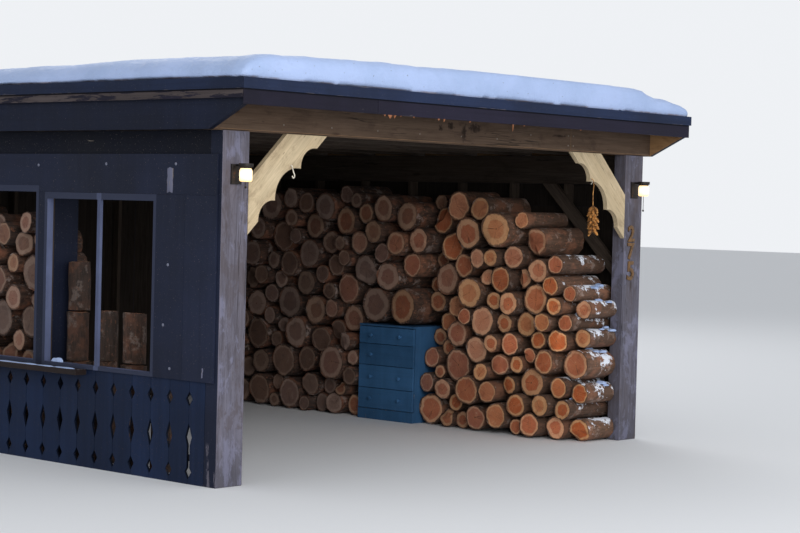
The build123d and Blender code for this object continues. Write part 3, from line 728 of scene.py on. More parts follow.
def painted_wood(name, colour, bare, wear=0.12, low_wear=0.0, streak=0.12, gloss=0.62, grain=0.25, end_wear=0.0,
                 painted_shade=None):
    """Old paint: brushed grain, dirt streaks, flecks, chips to the wood, and peeling at the foot and front end; a
    painted_shade mask, where given, darkens it as painted shade.
    """
    look = Finish(name, gloss, 0.1)
    board = look.stored("grain_place")
    _, depth, height = look.parts(look.place)
    wood = look.noise(board, (1.2, 42.0, 42.0), 5.0, 0.6, 0.4)
    broad = look.noise(look.place, 1.4, 5.0, 0.6)
    runs = look.noise(look.place, (16.0, 16.0, 0.8), 4.0, 0.6)
    flecks = look.noise(look.place, 130.0, 2.0, 0.5)
    chips = look.noise(board, (3.0, 24.0, 24.0), 6.0, 0.7, 0.5)
    if low_wear:
        chips = chips + height.fit(0.0, 0.75, low_wear * 0.24, 0.0)
    if end_wear:
        chips = chips + depth.fit(-1.75, -2.3) * height.fit(0.62, 0.1, 0.2) * (end_wear * 0.3)
    limit = 0.74 - wear * 0.9
    worn = chips.fit(limit, limit + 0.03)
    look.base(broad.fit(0.32, 0.68), toned(colour, 0.76), toned(colour, 1.26))
    look.coat((runs.fit(0.45, 0.72, 0.0, streak * 2.2), toned(colour, 1.5, 1.02, 1.0, 0.96)),
              (runs.fit(0.25, 0.42, streak * 2.5, 0.0), toned(colour, 0.55)),
              (wood.fit(0.4, 0.75, 0.0, grain), toned(colour, 0.6)),
              (flecks.fit(0.69, 0.74, 0.0, 0.55), toned(bare, 0.9)),
              (worn, look.mix(wood.fit(0.3, 0.7), toned(bare, 0.65), toned(bare, 1.15))))
    look.vary(look.parts(look.stored("board_tone"))[0], 0.9, 1.1)
    # Painted shade: darken the paint where the given mask says shade falls.
    if painted_shade is not None:
        look.coat((painted_shade(look), toned(colour, 0.3)))
    rough = broad.fit(0.3, 0.7, gloss - 0.08, gloss + 0.12) + worn * 0.2
    return look.done(rough, look.relief(wood * 0.35 + worn * -0.5, 0.0009))


def sawn_ends(name, logs):
    """Sawn ends of logs: heartwood, pale sapwood, year rings, drying cracks and saw marks, greyer and darker from
    the open front inwards: partly age, partly painted light at the front and painted shade inside the store.
    """
    look = Finish(name)
    place = look.stored("log_place")
    tone, fresh_and_lit, share = look.parts(look.stored("log_facts"))
    along, across, up = look.parts(place)
    size_chance, depth_chance, pink_chance, level_chance, saw_chance = (
        look.maths("FRACT", tone * factor) for factor in (7.3, 3.1, 11.3, 5.7, 17.9))

    def aged_and_shaded(old, new):
        return look.mix(fresh_and_lit, paint(*old), paint(*new))

    bend = (look.noise(place, (1.0, 22.0, 22.0), 4.0, 0.6) - 0.5) * 0.34
    rings = look.maths("SINE", (share + bend * 0.3) * 105.0)
    share = share + bend
    spoke_place = look.joined(look.maths("ARCTAN2", up, across), along * 3.0, tone)
    split = 1.0 - abs(look.noise(spoke_place, (2.6, 1.0, 9.0), 1.0, 0.4) - 0.5).fit(0.0, 0.016)
    split = split * share.fit(0.95, 0.25) * look.noise(spoke_place, 1.7).fit(0.5, 0.58)
    pinkish = pink_chance.fit(0.3, 0.9, 0.0, 0.6)
    heartwood = look.mix(pinkish, look.mix(fresh_and_lit, logs.old_shaded_heart, logs.lit_fresh_heart),
                         aged_and_shaded((106, 82, 76), (208, 122, 90)))
    sapwood = look.mix(pinkish, look.mix(fresh_and_lit, logs.old_shaded_sapwood, logs.lit_fresh_sapwood),
                       aged_and_shaded((132, 112, 104), (234, 172, 138)))
    past_heart = share - size_chance.fit(0.0, 1.0, 0.6, 0.86)
    heart = (1.0 - past_heart.fit(-0.08, 0.04)) * depth_chance.fit(0.0, 0.6, 0.55, 1.0)
    blotch = look.noise(place, (1.0, 13.0, 13.0), 6.0, 0.7, 0.4)
    dirt = look.noise(place, (1.0, 60.0, 60.0), 5.0, 0.75)
    slope = across * (saw_chance - 0.5) + up
    saw_marks = look.noise(look.joined(slope * 330.0, across * 9.0, tone), 1.0, 2.0, 0.5)
    look.base(heart, sapwood, heartwood)
    look.coat((abs(past_heart).fit(0.0, 0.09, 0.5, 0.0) * heart, aged_and_shaded((82, 58, 48), (170, 76, 36))),
              (share.fit(0.5, 0.05, 0.0, 0.35) * heart, aged_and_shaded((118, 88, 72), (228, 132, 76))),
              (rings.fit(0.1, 1.0, 0.0, 0.24), aged_and_shaded((68, 50, 42), (156, 76, 40))),
              (blotch.fit(0.5, 0.7, 0.0, 0.6), aged_and_shaded((84, 64, 56), (170, 86, 48))),
              (blotch.fit(0.42, 0.26, 0.0, 0.5), aged_and_shaded((146, 124, 110), (248, 198, 148))),
              (dirt.fit(0.56, 0.72, 0.0, 0.45), aged_and_shaded((74, 60, 54), (120, 72, 50))),
              (saw_marks.fit(0.5, 0.75, 0.0, 0.22), aged_and_shaded((138, 122, 110), (242, 198, 154))),
              (share.fit(0.93, 1.0, 0.0, 0.7), paint(92, 62, 46)),
              (share.fit(0.015, 0.05, 1.0, 0.0) * 0.8, paint(84, 52, 34)),
              (split * 0.85, paint(60, 38, 28)))
    look.vary(level_chance, 0.72, 1.1)
    return look.done(None, look.relief(saw_marks * 0.6 + rings * 0.12 + dirt * 0.8 - split * 2.0, 0.0022))


def log_bark(name, logs, level=1.0):
    """Bark: furrows along the log, plates, grey lichen, rusty flakes and frost near the open front; dark, so that
    the gaps between logs show painted shade, and warmer on the front logs, partly as painted light.
    """
    look = Finish(name, 0.9)
    place = look.stored("log_place")
    tone, fresh_and_lit, _ = look.parts(look.stored("log_facts"))
    colour = logs.bark_colour_with_gap_shade
    furrows = look.noise(place, (5.0, 34.0, 34.0), 6.0, 0.65, 0.8)
    plates = look.cells(place, (14.0, 55.0, 55.0))
    lichen = look.noise(place, (9.0, 9.0, 9.0), 6.0, 0.7)
    broad = look.noise(place, 6.0)
    flakes = look.noise(place, (26.0, 44.0, 44.0), 5.0, 0.7)
    look.base(furrows.fit(0.38, 0.62), toned(colour, 0.22), toned(colour, 1.4))
    look.coat((plates.fit(0.25, 0.7, 0.0, 0.45), toned(colour, 0.6, 1.1, 0.95, 0.85)),
              (broad.fit(0.5, 0.64, 0.0, 0.5), paint(148, 94, 68)),
              (broad.fit(0.3, 0.42, 0.6, 0.0), paint(62, 52, 48)),
              (lichen.fit(0.55, 0.63, 0.0, 0.6), paint(158, 142, 134)),
              (flakes.fit(0.57, 0.65, 0.0, 0.5), paint(170, 110, 80)),
              (flakes.fit(0.3, 0.4, 0.7, 0.0), paint(44, 36, 34)),
              (lichen.fit(0.28, 0.38, 0.6, 0.0), paint(62, 56, 44)),
              (fresh_and_lit * 0.22, paint(150, 112, 84)))
    look.vary(tone, 0.66 * level, 1.12 * level)
    across, depth, _ = look.parts(look.place)
    upward = look.parts(look.add("NewGeometry", {}, "Normal"))[2]
    reach = depth.fit(-1.9, -2.3) * across.fit(1.55, 1.95)
    cover = look.noise(look.place, 9.0, 8.0, 0.72) + upward * 0.11 + reach * 0.09
    look.coat((cover.fit(0.655, 0.69) * reach.fit(0.05, 0.3), paint(228, 232, 242)))
    return look.done(None, look.relief(furrows + plates * 0.5, 0.008))


def settled_snow(name, colour):
    """Settled snow: fine grain, soft dips, a few specks and needles, and a dirty foot; broad darker patches are
    painted shade of the drifts.
    """
    look = Finish(name, 0.55)
    place = look.place
    crust = look.noise(place, 24.0, 5.0, 0.6)
    specks = look.noise(place, 46.0, 2.0, 0.4).fit(0.75, 0.775)
    needles = look.noise(place, (34.0, 120.0, 90.0), 1.0, 0.4).fit(0.77, 0.79)
    litter = specks + needles * look.noise(place, 1.1, 3.0).fit(0.5, 0.62)
    height = look.parts(place)[2]
    roof_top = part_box("roof_snow")[0].z
    foot = height.fit(roof_top + 0.004, roof_top + 0.016, 1.0, 0.0) * height.fit(roof_top - 0.01, roof_top - 0.001)
    # Broad darker patches: painted shade of the drifts.
    look.base(look.noise(place, 1.8).fit(0.35, 0.65, 0.0, 0.8), colour, toned(colour, 0.86, 0.95, 0.99))
    look.coat((crust.fit(0.3, 0.45, 0.25, 0.0), toned(colour, 0.8, 0.96, 0.99, 1.02)),
              (litter * 0.55, paint(88, 78, 66)),
              (foot * look.noise(place, 5.0, 5.0, 0.7).fit(0.42, 0.6, 0.1, 0.75), paint(112, 84, 74)))
    swells = look.relief(look.noise(place, (1.6, 2.4, 1.6), 1.0, 0.4), 0.05)
    height = crust + look.noise(place, 260.0, 2.0, 0.6) * 0.15
    return look.done(crust.fit(0.3, 0.7, 0.5, 0.75), look.relief(height, 0.006, swells))


def roofing_felt(name):
    """Mineral felt with fine grit."""
    look = Finish(name, 0.9)
    grit = look.noise(look.place, 420.0, 2.0, 0.6)
    look.base(grit.fit(0.35, 0.65), paint(34, 36, 42), paint(92, 94, 100))
    look.coat((look.noise(look.place, 2.0).fit(0.4, 0.7, 0.0, 0.4), paint(60, 64, 58)))
    return look.done(None, look.relief(grit, 0.0015))


def dark_metal(name, colour, metallic=0.75, roughness=0.5):
    """Old metal with dull patches and a little rust."""
    look = Finish(name, roughness)
    look.shader.inputs["Metallic"].default_value = metallic
    broad = look.noise(look.place, 34.0, 5.0, 0.65)
    look.base(broad.fit(0.35, 0.65), toned(colour, 0.7), toned(colour, 1.4))
    look.coat((broad.fit(0.6, 0.7, 0.0, 0.7), paint(118, 74, 44)))
    rough = broad.fit(0.3, 0.7, roughness - 0.12, roughness + 0.25)
    return look.done(rough, look.relief(look.noise(look.place, 300.0, 3.0, 0.6), 0.0004))


def lit_glass(name, colour, strength, low, high):
    """Glowing jar: brightest at the flame's height and deeper amber towards its ends."""
    look = Finish(name, 0.25)
    height = look.parts(look.place)[2]
    rise = abs(height - (low + high) / 2).fit(0.0, (high - low) * 0.62)
    mottle = look.noise(look.place, 60.0, 3.0)
    look.base(rise, toned(colour, 1.0, 1.0, 1.28, 2.1), colour)
    look.vary(mottle, 0.85, 1.1)
    look.feed(look.shader.inputs["Emission Color"], look.colour)
    look.shader.inputs["Emission Strength"].default_value = strength
    look.base(rise, paint(255, 236, 200), paint(236, 190, 130))
    return look.done(None, look.relief(mottle, 0.0006))


def cone_scales(name):
    """Cone scales: brown, with fine paler streaks."""
    look = Finish(name, 0.7)
    fibres = look.noise(look.place, (180.0, 180.0, 60.0), 3.0)
    look.base(look.noise(look.place, 38.0, 4.0, 0.6).fit(0.35, 0.65), paint(104, 66, 34), paint(214, 152, 80))
    look.coat((fibres.fit(0.55, 0.75, 0.0, 0.5), paint(214, 170, 112)))
    return look.done(None, look.relief(fibres, 0.0012))


# Boards, posts and beams

class LOGSTORE_OT_timber(bpy.types.Operator):
    """Posts, beams and the inner frame in weathered timber with worn arrises"""

    bl_idname = "logstore.timber"
    bl_label = "Timber frame"

    def execute(self, context):
        timber = context.scene.log_store.timber
        low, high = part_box("front_beam")
        marks = [((x, low.y, z), (wide, 0.1, tall)) for x, z, wide, tall in (
            (0.178, 2.425, 0.075, 0.04), (-0.09, 2.43, 0.04, 0.034), (0.06, 2.39, 0.03, 0.07),
            (-0.2, 2.41, 0.03, 0.025), (1.2, 2.415, 0.09, 0.012))]
        post = (bare_timber("post_timber", timber.post_colour, 0.6, contrast=0.7, patches=0.55),
                bare_timber("post_timber_edge", toned(timber.post_colour, 1.12), 0.8, contrast=0.6))
        # The beam's worn arrises are also painted twice as bright and golden: a painted highlight.
        beam = (bare_timber("beam_timber", timber.beam_colour, 0.25, False, 0.6, marks=marks),
                bare_timber("beam_timber_edge", toned(timber.beam_colour, 2.1, 1.12, 1.0, 0.78), 0.3, False, 0.6))
        inner = (bare_timber("inner_timber", timber.inner_colour_with_shade, 0.2, False),
                 bare_timber("inner_timber_edge", toned(timber.inner_colour_with_shade, 1.1), 0.3, False))
        bracket = (bare_timber("bracket_timber", timber.bracket_colour_with_lamp_light, 0.3, False, 0.5),
                   bare_timber("bracket_timber_edge", toned(timber.bracket_colour_with_lamp_light, 0.72), 0.3, False, 0.5))
        wall_colour = context.scene.log_store.paint.wall_colour
        post_side = painted_wood("post_side_paint", wall_colour, timber.post_colour, 0.1, 0.4, 0.14)
        for seed, node in enumerate(("front_post_left", "front_post_right", "back_posts")):
            piece = dressed_boards(node, "timber", post, timber.edge_round, 11 + seed)
            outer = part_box(node)[0].x + 0.001
            paint_faces(piece, post_side, lambda centre, normal: node != "front_post_right" and normal.x < -FACING
                        and centre.x < outer, plain_only=False)
        half, cut_depth = timber.splice_width / 2, 0.02
        splice = block("splice_cut", (timber.splice_place - half, low.y - CLEAR, low.z - CLEAR),
                       (timber.splice_place + half, low.y + cut_depth, high.z + CLEAR))
        raised = lifted(high.z, timber.beam_rise)
        dressed_boards("front_beam", "timber", beam, timber.edge_round * 1.5, 21, cutter=splice, adjust=raised)
        dressed_boards("back_beam", "timber", beam, timber.edge_round, 22, adjust=raised)
        for seed, node in enumerate(("cross_joists", "purlins", "left_studs", "left_rails", "left_short_studs",
                                     "right_studs", "back_studs")):
            adjust = cutter = None
            if node == "purlins":
                adjust = lifted(high.z, timber.eaves_rise, RIM_PLACE)
                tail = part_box(node)[1].y
                cutter = blocks("purlin_tails", [
                    ((-RIM_PLACE, y0, high.z - CLEAR), (RIM_PLACE, y1, high.z + timber.tail_cut))
                    for y0, y1 in ((-tail - CLEAR, low.y + CLEAR), (-low.y - CLEAR, tail + CLEAR))])
            dressed_boards(node, "timber", inner, timber.thin_edge_round, 31 + seed, cutter=cutter, adjust=adjust)
        for node, suffix, finishes, seed, along in (
                ("right_brace", "timber", inner, 51, (0, 1, 1)), ("roof_deck", "boards", inner, 52, None),
                ("bracket_left", "timber", bracket, 61, (1, 0, 1)),
                ("bracket_right", "timber", bracket, 62, (-1, 0, 1))):
            dressed_boards(node, suffix, finishes, timber.thin_edge_round, seed, along)
        return {"FINISHED"}


def splinters():
    """Torn splinters along the foot of the front fascia."""
    chance = random.Random(23)
    foot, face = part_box("fascia_boards")[0].z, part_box("fascia_boards")[0].y
    made = []
    for x, wide, tall in ((-1.166, 0.014, 0.012), (-1.128, 0.03, 0.024), (-1.098, 0.012, 0.016),
                          (-1.062, 0.02, 0.02), (-1.0, 0.01, 0.008), (-0.87, 0.016, 0.008), (-0.62, 0.03, 0.012),
                          (-0.55, 0.012, 0.02), (-0.27, 0.008, 0.012), (0.21, 0.01, 0.05), (0.34, 0.014, 0.01),
                          (1.02, 0.02, 0.008)):
        chip = block("fascia_splinter", (x, face + 0.003, foot - tall), (x + wide, face + 0.013, foot + 0.004))
        with reshaped(chip) as places:
            tip = places[:, 2] < foot - tall / 2
            tip_place = x + wide * chance.uniform(0.1, 0.9)
            places[tip, 0] = tip_place + (places[tip, 0] - x - wide / 2) * 0.15
            places[tip, 1] = face + 0.008 + (places[tip, 1] - face - 0.008) * 0.3
        made.append(chip)
    chips = join(made, "fascia_splinters")
    mark_grain(chips, 151)
    add_on(chips, bare_timber("splintered_wood", paint(168, 112, 80), 0.1, False))


class LOGSTORE_OT_paintwork(bpy.types.Operator):
    """Painted eaves, wall sheets, end board and ledge"""

    bl_idname = "logstore.paintwork"
    bl_label = "Paintwork"

    def execute(self, context):
        colours, timber = context.scene.log_store.paint, context.scene.log_store.timber
        bare, grey_bare, wall_colour = colours.bare_colour, colours.grey_bare_colour, colours.wall_colour
        soffit = bare_timber("soffit_timber", timber.soffit_colour, 0.1, False, 0.6)
        # The strip's downward faces take the strip paint at a third of its brightness: painted shade.
        shaded_underside = painted_wood("strip_underside", toned(colours.strip_colour, 0.3), grey_bare, 0.02)
        rim_low, rim_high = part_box("rim_boards")
        rim_top, rise = rim_high.z, timber.eaves_rise
        strip_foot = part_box("eave_strips")[0].z

        # Painted shadow of the eave strip: a dark band along the fascia's top, just under the strip.
        def strip_shadow(look):
            return look.parts(look.place)[2].fit(strip_foot - 0.011, strip_foot - 0.008, 0.0, 0.9)

        worn_side = painted_wood("fascia_side_paint", toned(colours.fascia_colour, 1.1), paint(84, 76, 76), 0.3,
                                 streak=0.05, grain=0.6, painted_shade=strip_shadow)
        for seed, (node, name, colour, wear, streak) in enumerate((
                ("eave_strips", "strip", colours.strip_colour, 0.04, 0.05),
                ("fascia_boards", "fascia", colours.fascia_colour, 0.03, 0.03),
                ("rim_boards", "rim", colours.rim_colour, 0.06, 0.14),
                ("ledge_board", "ledge", colours.ledge_colour, 0.1, 0.1),
                ("stack_end_board", "end_board", colours.rim_colour, 0.05, 0.1))):
            under, painted_shade, changes = grey_bare, None, {}
            if name == "fascia":
                under, painted_shade = toned(grey_bare, 0.55), strip_shadow
                joint, front = colours.fascia_joint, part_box(node)[0].y
                joint_width, joint_depth, joint_rise = 0.003, 0.03, 0.08
                changes["adjust"] = lifted(rim_top, rise, RIM_PLACE, True)
                changes["cutter"] = block("fascia_joint", (joint, front - CLEAR, rim_top - CLEAR),
                                          (joint + joint_width, front + joint_depth, strip_foot + joint_rise))
            elif name == "rim":
                changes["adder"] = blocks("rim_tops", [
                    ((x, rim_low.y, rim_top - 0.001), (x + RIM_THICKNESS, rim_high.y, rim_top + rise))
                    for x in (rim_low.x, rim_high.x - RIM_THICKNESS)])
            finishes = (painted_wood(f"{name}_paint", colour, under, wear, 0.0, streak, grain=0.45, painted_shade=painted_shade),
                        painted_wood(f"{name}_paint_edge", toned(colour, 1.15), under, wear + 0.14, 0.0, streak))
            piece = dressed_boards(node, "painted", finishes, colours.edge_round, 71 + seed, **changes)
            if name in ("fascia", "rim"):
                paint_faces(piece, soffit, lambda centre, normal: normal.xy.dot(centre.xy) < -FACING)
            if name == "fascia":
                paint_faces(piece, worn_side, lambda centre, normal: normal.x * centre.x > FACING)
            elif name == "strip":
                paint_faces(piece, shaded_underside, lambda centre, normal: normal.z < -FACING)
        # The wall plates' outer faces take the wall paint at less than half its brightness: painted shade under the
        # eaves.
        plate = (painted_wood("plate_paint", toned(wall_colour, 0.4), bare, 0.03, 0.0, 0.1),
                 painted_wood("plate_paint_edge", toned(wall_colour, 0.5), bare, 0.1))
        piece = dressed_boards("wall_plates", "painted", plate, colours.edge_round, 79)
        paint_faces(piece, bpy.data.materials["inner_timber"], lambda centre, normal: normal.x * centre.x < FACING)
        wall = (painted_wood("wall_sheet_paint", wall_colour, bare, 0.02, 0.35, 0.12, 0.55, 0.16),
                painted_wood("wall_sheet_paint_edge", toned(wall_colour, 1.05), toned(bare, 0.5), 0.08, 0.4, 0.12))
        # Inner faces of the sheets: bare timber, darkened further as painted shade inside the store.
        inside = bare_timber("sheet_inside", toned(timber.inner_colour_with_shade, 0.4), 0.1, False)
        for seed, node in enumerate(("left_header_sheet", "left_corner_sheets", "left_window_sheets",
                                     "right_sheets", "back_sheets")):
            piece = dressed_boards(node, "painted", wall, colours.edge_round, 81 + seed,
                                   None if "header" in node else (0, 0, 1), adjust=close_joints)
            low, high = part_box(node)
            inward = Vector((0, -1, 0)) if "back" in node else Vector((-(low.x + high.x), 0, 0)).normalized()
            paint_faces(piece, inside, lambda centre, normal: normal.dot(inward) > FACING)
        splinters()
        felt = node_copy("roof_covering", "roof_covering_felt")
        felt.data.materials.append(roofing_felt("roof_felt"))
        round_edges(felt, 0.003)
        smooth(felt, 30)
        stand_for(felt, "roof_covering")
        return {"FINISHED"}


class LOGSTORE_OT_windows(bpy.types.Operator):
    """Window frames in lighter paint with rounded mullions"""

    bl_idname = "logstore.windows"
    bl_label = "Window frames"

    def execute(self, context):
        colours = context.scene.log_store.paint
        low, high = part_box("window_frame_front")
        wall_face, middle = low.x, -(low.y + high.y) / 2

        def shaded_front_faces(look):
            """Faces level with the wall, apart from the mullions, are darkened as painted shade, so that only the
            reveals and mullions show the pale frame colour.
            """
            across, along, _ = look.parts(look.place)
            off_centre = abs(along)
            from_mullion = look.maths("MINIMUM", off_centre, abs(off_centre - middle))
            return from_mullion.fit(0.024, 0.026, 0.2, 1.0) * across.fit(wall_face + 0.0012, wall_face + 0.003,
                                                                         1.0, 0.0)

        finishes = (painted_wood("window_frame_paint", colours.frame_colour, colours.bare_colour, 0.06, 0.1, 0.14,
                                 0.55, 0.3, painted_shade=shaded_front_faces),
                    painted_wood("window_frame_paint_edge", toned(colours.frame_colour, 1.1), colours.bare_colour,
                                 0.14, 0.1, 0.1, 0.55, painted_shade=shaded_front_faces))
        rabbet, half_cut, foot_rail, head_rail = 0.024, 0.024, 0.0267, 0.0437
        for seed, place in enumerate(("front", "middle", "back")):
            low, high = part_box(f"window_frame_{place}")
            centre = (low.y + high.y) / 2
            cut = block("mullion_cut", (low.x + rabbet, centre - half_cut, low.z + foot_rail),
                        (high.x + CLEAR, centre + half_cut, high.z - head_rail))
            dressed_boards(f"window_frame_{place}", "painted", finishes, colours.edge_round * 1.5, 91 + seed,
                           (0, 0, 1), cutter=cut, adjust=slim_mullion)
        return {"FINISHED"}


class LOGSTORE_OT_fretwork(bpy.types.Operator):
    """Fretwork panel cut into its separate boards"""

    bl_idname = "logstore.fretwork"
    bl_label = "Fretwork boards"

    def execute(self, context):
        colours = context.scene.log_store.paint
        bare = paint(104, 82, 66)
        low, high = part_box("fretwork_panel")
        joints = int((high.y - low.y) / BOARD_WIDTH)
        half = colours.board_gap / 2
        joint_places = [(index - (joints - 1) / 2) * BOARD_WIDTH for index in range(joints)]
        cutter = blocks("board_joints", [((low.x - CLEAR, y - half, low.z - CLEAR),
                                          (high.x + CLEAR, y + half, high.z + CLEAR)) for y in joint_places])

        def widened(piece, nearest=0.02, farthest=0.035, more=0.003):
            """Diamonds sawn a little wider at their middles, whose corners lie so far from the joints."""
            with reshaped(piece) as places:
                off = (places[:, 1] / BOARD_WIDTH + (joints - 1) / 2 + 0.5) % 1.0 - 0.5
                tips = (np.abs(off) * BOARD_WIDTH > nearest) & (np.abs(off) * BOARD_WIDTH < farthest)
                places[tips, 1] += np.sign(off[tips]) * more

        finishes = (painted_wood("fretwork_paint", colours.fret_colour, bare, 0.02, 0.12, 0.16, 0.58, 0.3, 0.12),
                    painted_wood("fretwork_paint_edge", colours.fret_colour, toned(bare, 0.7), 0.05, 0.2, 0.1,
                                 end_wear=0.2))
        piece = dressed_boards("fretwork_panel", "boards", finishes, colours.edge_round, 101, (0, 0, 1),
                               cutter=cutter, adjust=widened)
        # Faces in the board joints and the diamond cut-outs are painted very dark: dark joints, and painted shade
        # inside the cut-outs.
        sawn = painted_wood("fret_sawn_edge", toned(colours.fret_colour, 0.25), toned(bare, 0.4), 0.1)
        paint_faces(piece, sawn, lambda centre, normal: abs(normal.x) < 0.5
                    and low.z + CLEAR < centre.z < high.z - CLEAR)
        return {"FINISHED"}


# Logs

def log_model(logs):
    """One log along X, one metre long and two across: ringed along its length, with a bark rim round each end."""
    piece = started("log_model", bpy.ops.mesh.primitive_cylinder_add, vertices=logs.sides, radius=1, depth=1,
                    end_fill_type="NGON", rotation=(0, math.pi / 2, 0))
    place_piece(piece)
    with edit_mode(piece, edges=lambda first, second: abs(first.x - second.x) > 0.5):
        bpy.ops.mesh.subdivide(number_cuts=2)
    with edit_mode(piece, faces=lambda centre, normal: abs(normal.x) > FACING):
        bpy.ops.mesh.inset(thickness=logs.bark_share)
    with edit_mode(piece, faces=lambda centre, normal: abs(normal.x) > FACING and centre.yz.length < 0.01):
        bpy.ops.mesh.poke()
    for name in ("log_bark", "log_ends"):
        piece.data.materials.append(bpy.data.materials[name])
    girths = np.hypot(*coordinates(piece)[:, 1:].T)
    for face in piece.data.polygons:
        face.material_index = int(max(girths[list(face.vertices)]) < 1 - logs.bark_share * 0.5)
    return piece


def shape_log(piece, start, end, radius, fresh_and_lit, chance, logs, rough=1.0):
    """Give one copied log its length, girth, outline, leaning cuts and marks; it lies along X at Y = Z = 0."""
    places = coordinates(piece)
    along = places[:, 0]
    angle = np.arctan2(places[:, 2], places[:, 1])
    turns = [chance.uniform(0, 2 * math.pi) for _ in range(4)]
    lobes = (0.45 * np.sin(2 * angle + turns[0]) + 0.3 * np.sin(3 * angle + turns[1] + along)
             + 0.25 * np.sin(5 * angle + turns[2] + 2 * along))
    girth = 1 - logs.waviness * rough * (0.5 + 0.5 * lobes)
    small_end = chance.choice((-1, 1))
    girth = girth * (1 - logs.taper * chance.random() * (0.5 + small_end * along))
    if chance.random() > 0.82:
        girth = girth * (1 - 0.05 * (1 - np.exp(-((along - chance.uniform(-0.3, 0.3)) / 0.12) ** 2)))
    shaped = np.empty_like(places)
    shaped[:, 1:] = places[:, 1:] * radius * girth[:, None]
    shaped[:, 0] = start + (along + 0.5) * (end - start)

    def beyond(toward):
        """How far each point lies towards an angle."""
        return math.cos(toward) * shaped[:, 1] + math.sin(toward) * shaped[:, 2]

    for side in (-1, 1):
        lean = chance.uniform(0, logs.slant) ** 1.3
        near = np.clip((side * along - 0.2) / 0.3, 0, 1)
        shaped[:, 0] -= side * near * lean * (radius + beyond(chance.uniform(0, 2 * math.pi)))
        if chance.random() < logs.chipped:
            depth, toward = chance.uniform(0.02, 0.06), chance.uniform(0, 2 * math.pi)
            shaped[:, 0] -= side * near * depth * np.clip(beyond(toward) / radius * 3 - 0.6, 0, 1)
    set_vectors(piece, "log_place", shaped + np.array([chance.uniform(-60, 60), 0.0, 0.0]))
    facts = np.tile([chance.random(), min(1.0, max(0.0, fresh_and_lit)), radius], (len(shaped), 1))
    middle = np.hypot(places[:, 1], places[:, 2]) <= 0.01
    facts[:, 2] = ~middle
    set_vectors(piece, "log_facts", facts)
    shaped[middle, 1:] += [[chance.uniform(-0.12, 0.12) * radius, chance.uniform(-0.12, 0.12) * radius]
                           for _ in range(int(middle.sum()))]
    ragged = np.array([chance.gauss(0.0, 1.0) for _ in range(len(shaped))])
    at_rim = ~middle & (np.abs(along) > 0.49)
    spread = np.where(middle, 0.0, np.where(at_rim, 0.028, 0.02) * rough * np.clip(ragged, -1.8, 0.8))
    shaped[:, 1:] *= 1 + spread[:, None]
    shaped[at_rim, 0] -= np.sign(along[at_rim]) * 0.003 * np.abs(ragged[at_rim])
    with reshaped(piece) as places:
        places[:] = shaped


def circle_of(points):
    """Centre and radius of the circle through points of a plane."""
    table = np.column_stack([2 * points, np.ones(len(points))])
    answer = np.linalg.lstsq(table, (points ** 2).sum(1), rcond=None)[0]
    return answer[0], answer[1], math.sqrt(answer[2] + answer[0] ** 2 + answer[1] ** 2)


def random_spin(chance):
    return Matrix.Rotation(chance.uniform(-math.pi, math.pi), 4, "X")


def dress_stack(node, model, logs, seed, freshness_and_light, reach=None):
    """One shaped log for each prism of a CAD stack, joined into one piece; reach(y) limits the logs' far ends."""
    chance = random.Random(seed)
    made = []
    for part in node_parts(node):
        start, end = part[:, 0].min(), part[:, 0].max()
        y, z, radius = circle_of(part[:, 1:])
        if reach is not None:
            end = min(end, reach(y) + chance.uniform(-0.025, 0.025))
        piece = mesh_copy(model, "log")
        shape_log(piece, start, end, radius, freshness_and_light(y) + chance.uniform(-0.2, 0.2), chance, logs)
        turn = Matrix.Rotation(chance.uniform(-logs.turn, logs.turn), 4, "Z")
        spin = random_spin(chance)
        middle = Matrix.Translation(((start + end) / 2, 0, 0))
        moved(piece, Matrix.Translation((0, y, z)) @ middle @ turn @ middle.inverted() @ spin)
        made.append(piece)
    stack = join(made, f"{node}_logs")
    low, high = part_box(node)
    with reshaped(stack) as places:
        places[:, 0] = np.clip(places[:, 0], low.x, high.x)
    above_ground(stack)
    smooth(stack, LOG_SMOOTHING)
    stand_for(stack, node)


class LOGSTORE_OT_stacks(bpy.types.Operator):
    """Stacked logs with bark, sawn ends and leaning cuts"""

    bl_idname = "logstore.stacks"
    bl_label = "Log stacks"

    def execute(self, context):
        logs = context.scene.log_store.logs
        log_bark("log_bark", logs)
        sawn_ends("log_ends", logs)
        model = log_model(logs)
        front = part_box("log_stack_front")[0].y
        for offset, node in enumerate(("log_stack_front", "log_stack_on_chest", "log_stack_back")):
            # Ends and bark grow greyer and darker from the front inwards: partly age, partly painted shade inside
            # the store.
            dress_stack(node, model, logs, logs.seed + offset, lambda y: 1.05 - (y - front) / logs.age_and_shade_reach)
        # The left stack, behind the wall, takes the darkest ends: painted shade.
        left_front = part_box("log_stack_left")[0].y
        dress_stack("log_stack_left", model, logs, logs.seed + 5, lambda y: 0.02,
                    lambda y: logs.left_reach + max(0.0, y - left_front - 0.3) * 0.5)
        discard(model)
        return {"FINISHED"}


class LOGSTORE_OT_rounds(bpy.types.Operator):
    """Rounds standing on end behind the front window"""

    bl_idname = "logstore.rounds"
    bl_label = "Standing rounds"

    def execute(self, context):
        logs = context.scene.log_store.logs
        model = log_model(logs)
        chance = random.Random(logs.seed + 9)
        made = []
        for part in node_parts("standing_rounds"):
            foot, top = part[:, 2].min(), part[:, 2].max()
            x, y, radius = circle_of(part[:, :2])
            piece = mesh_copy(model, "round")
            shape_log(piece, 0.0, top - foot, radius, 0.35, chance, logs, rough=2.0)
            upright = Matrix.Translation((x, y, foot)) @ Matrix.Rotation(-math.pi / 2, 4, "Y")
            moved(piece, upright @ random_spin(chance))
            made.append(piece)
        discard(model)
        stack = join(made, "standing_rounds_logs")
        stack.data.materials[0] = log_bark("round_bark", logs, 0.5)
        above_ground(stack)
        smooth(stack, LOG_SMOOTHING)
        stand_for(stack, "standing_rounds")
        return {"FINISHED"}


# Snow

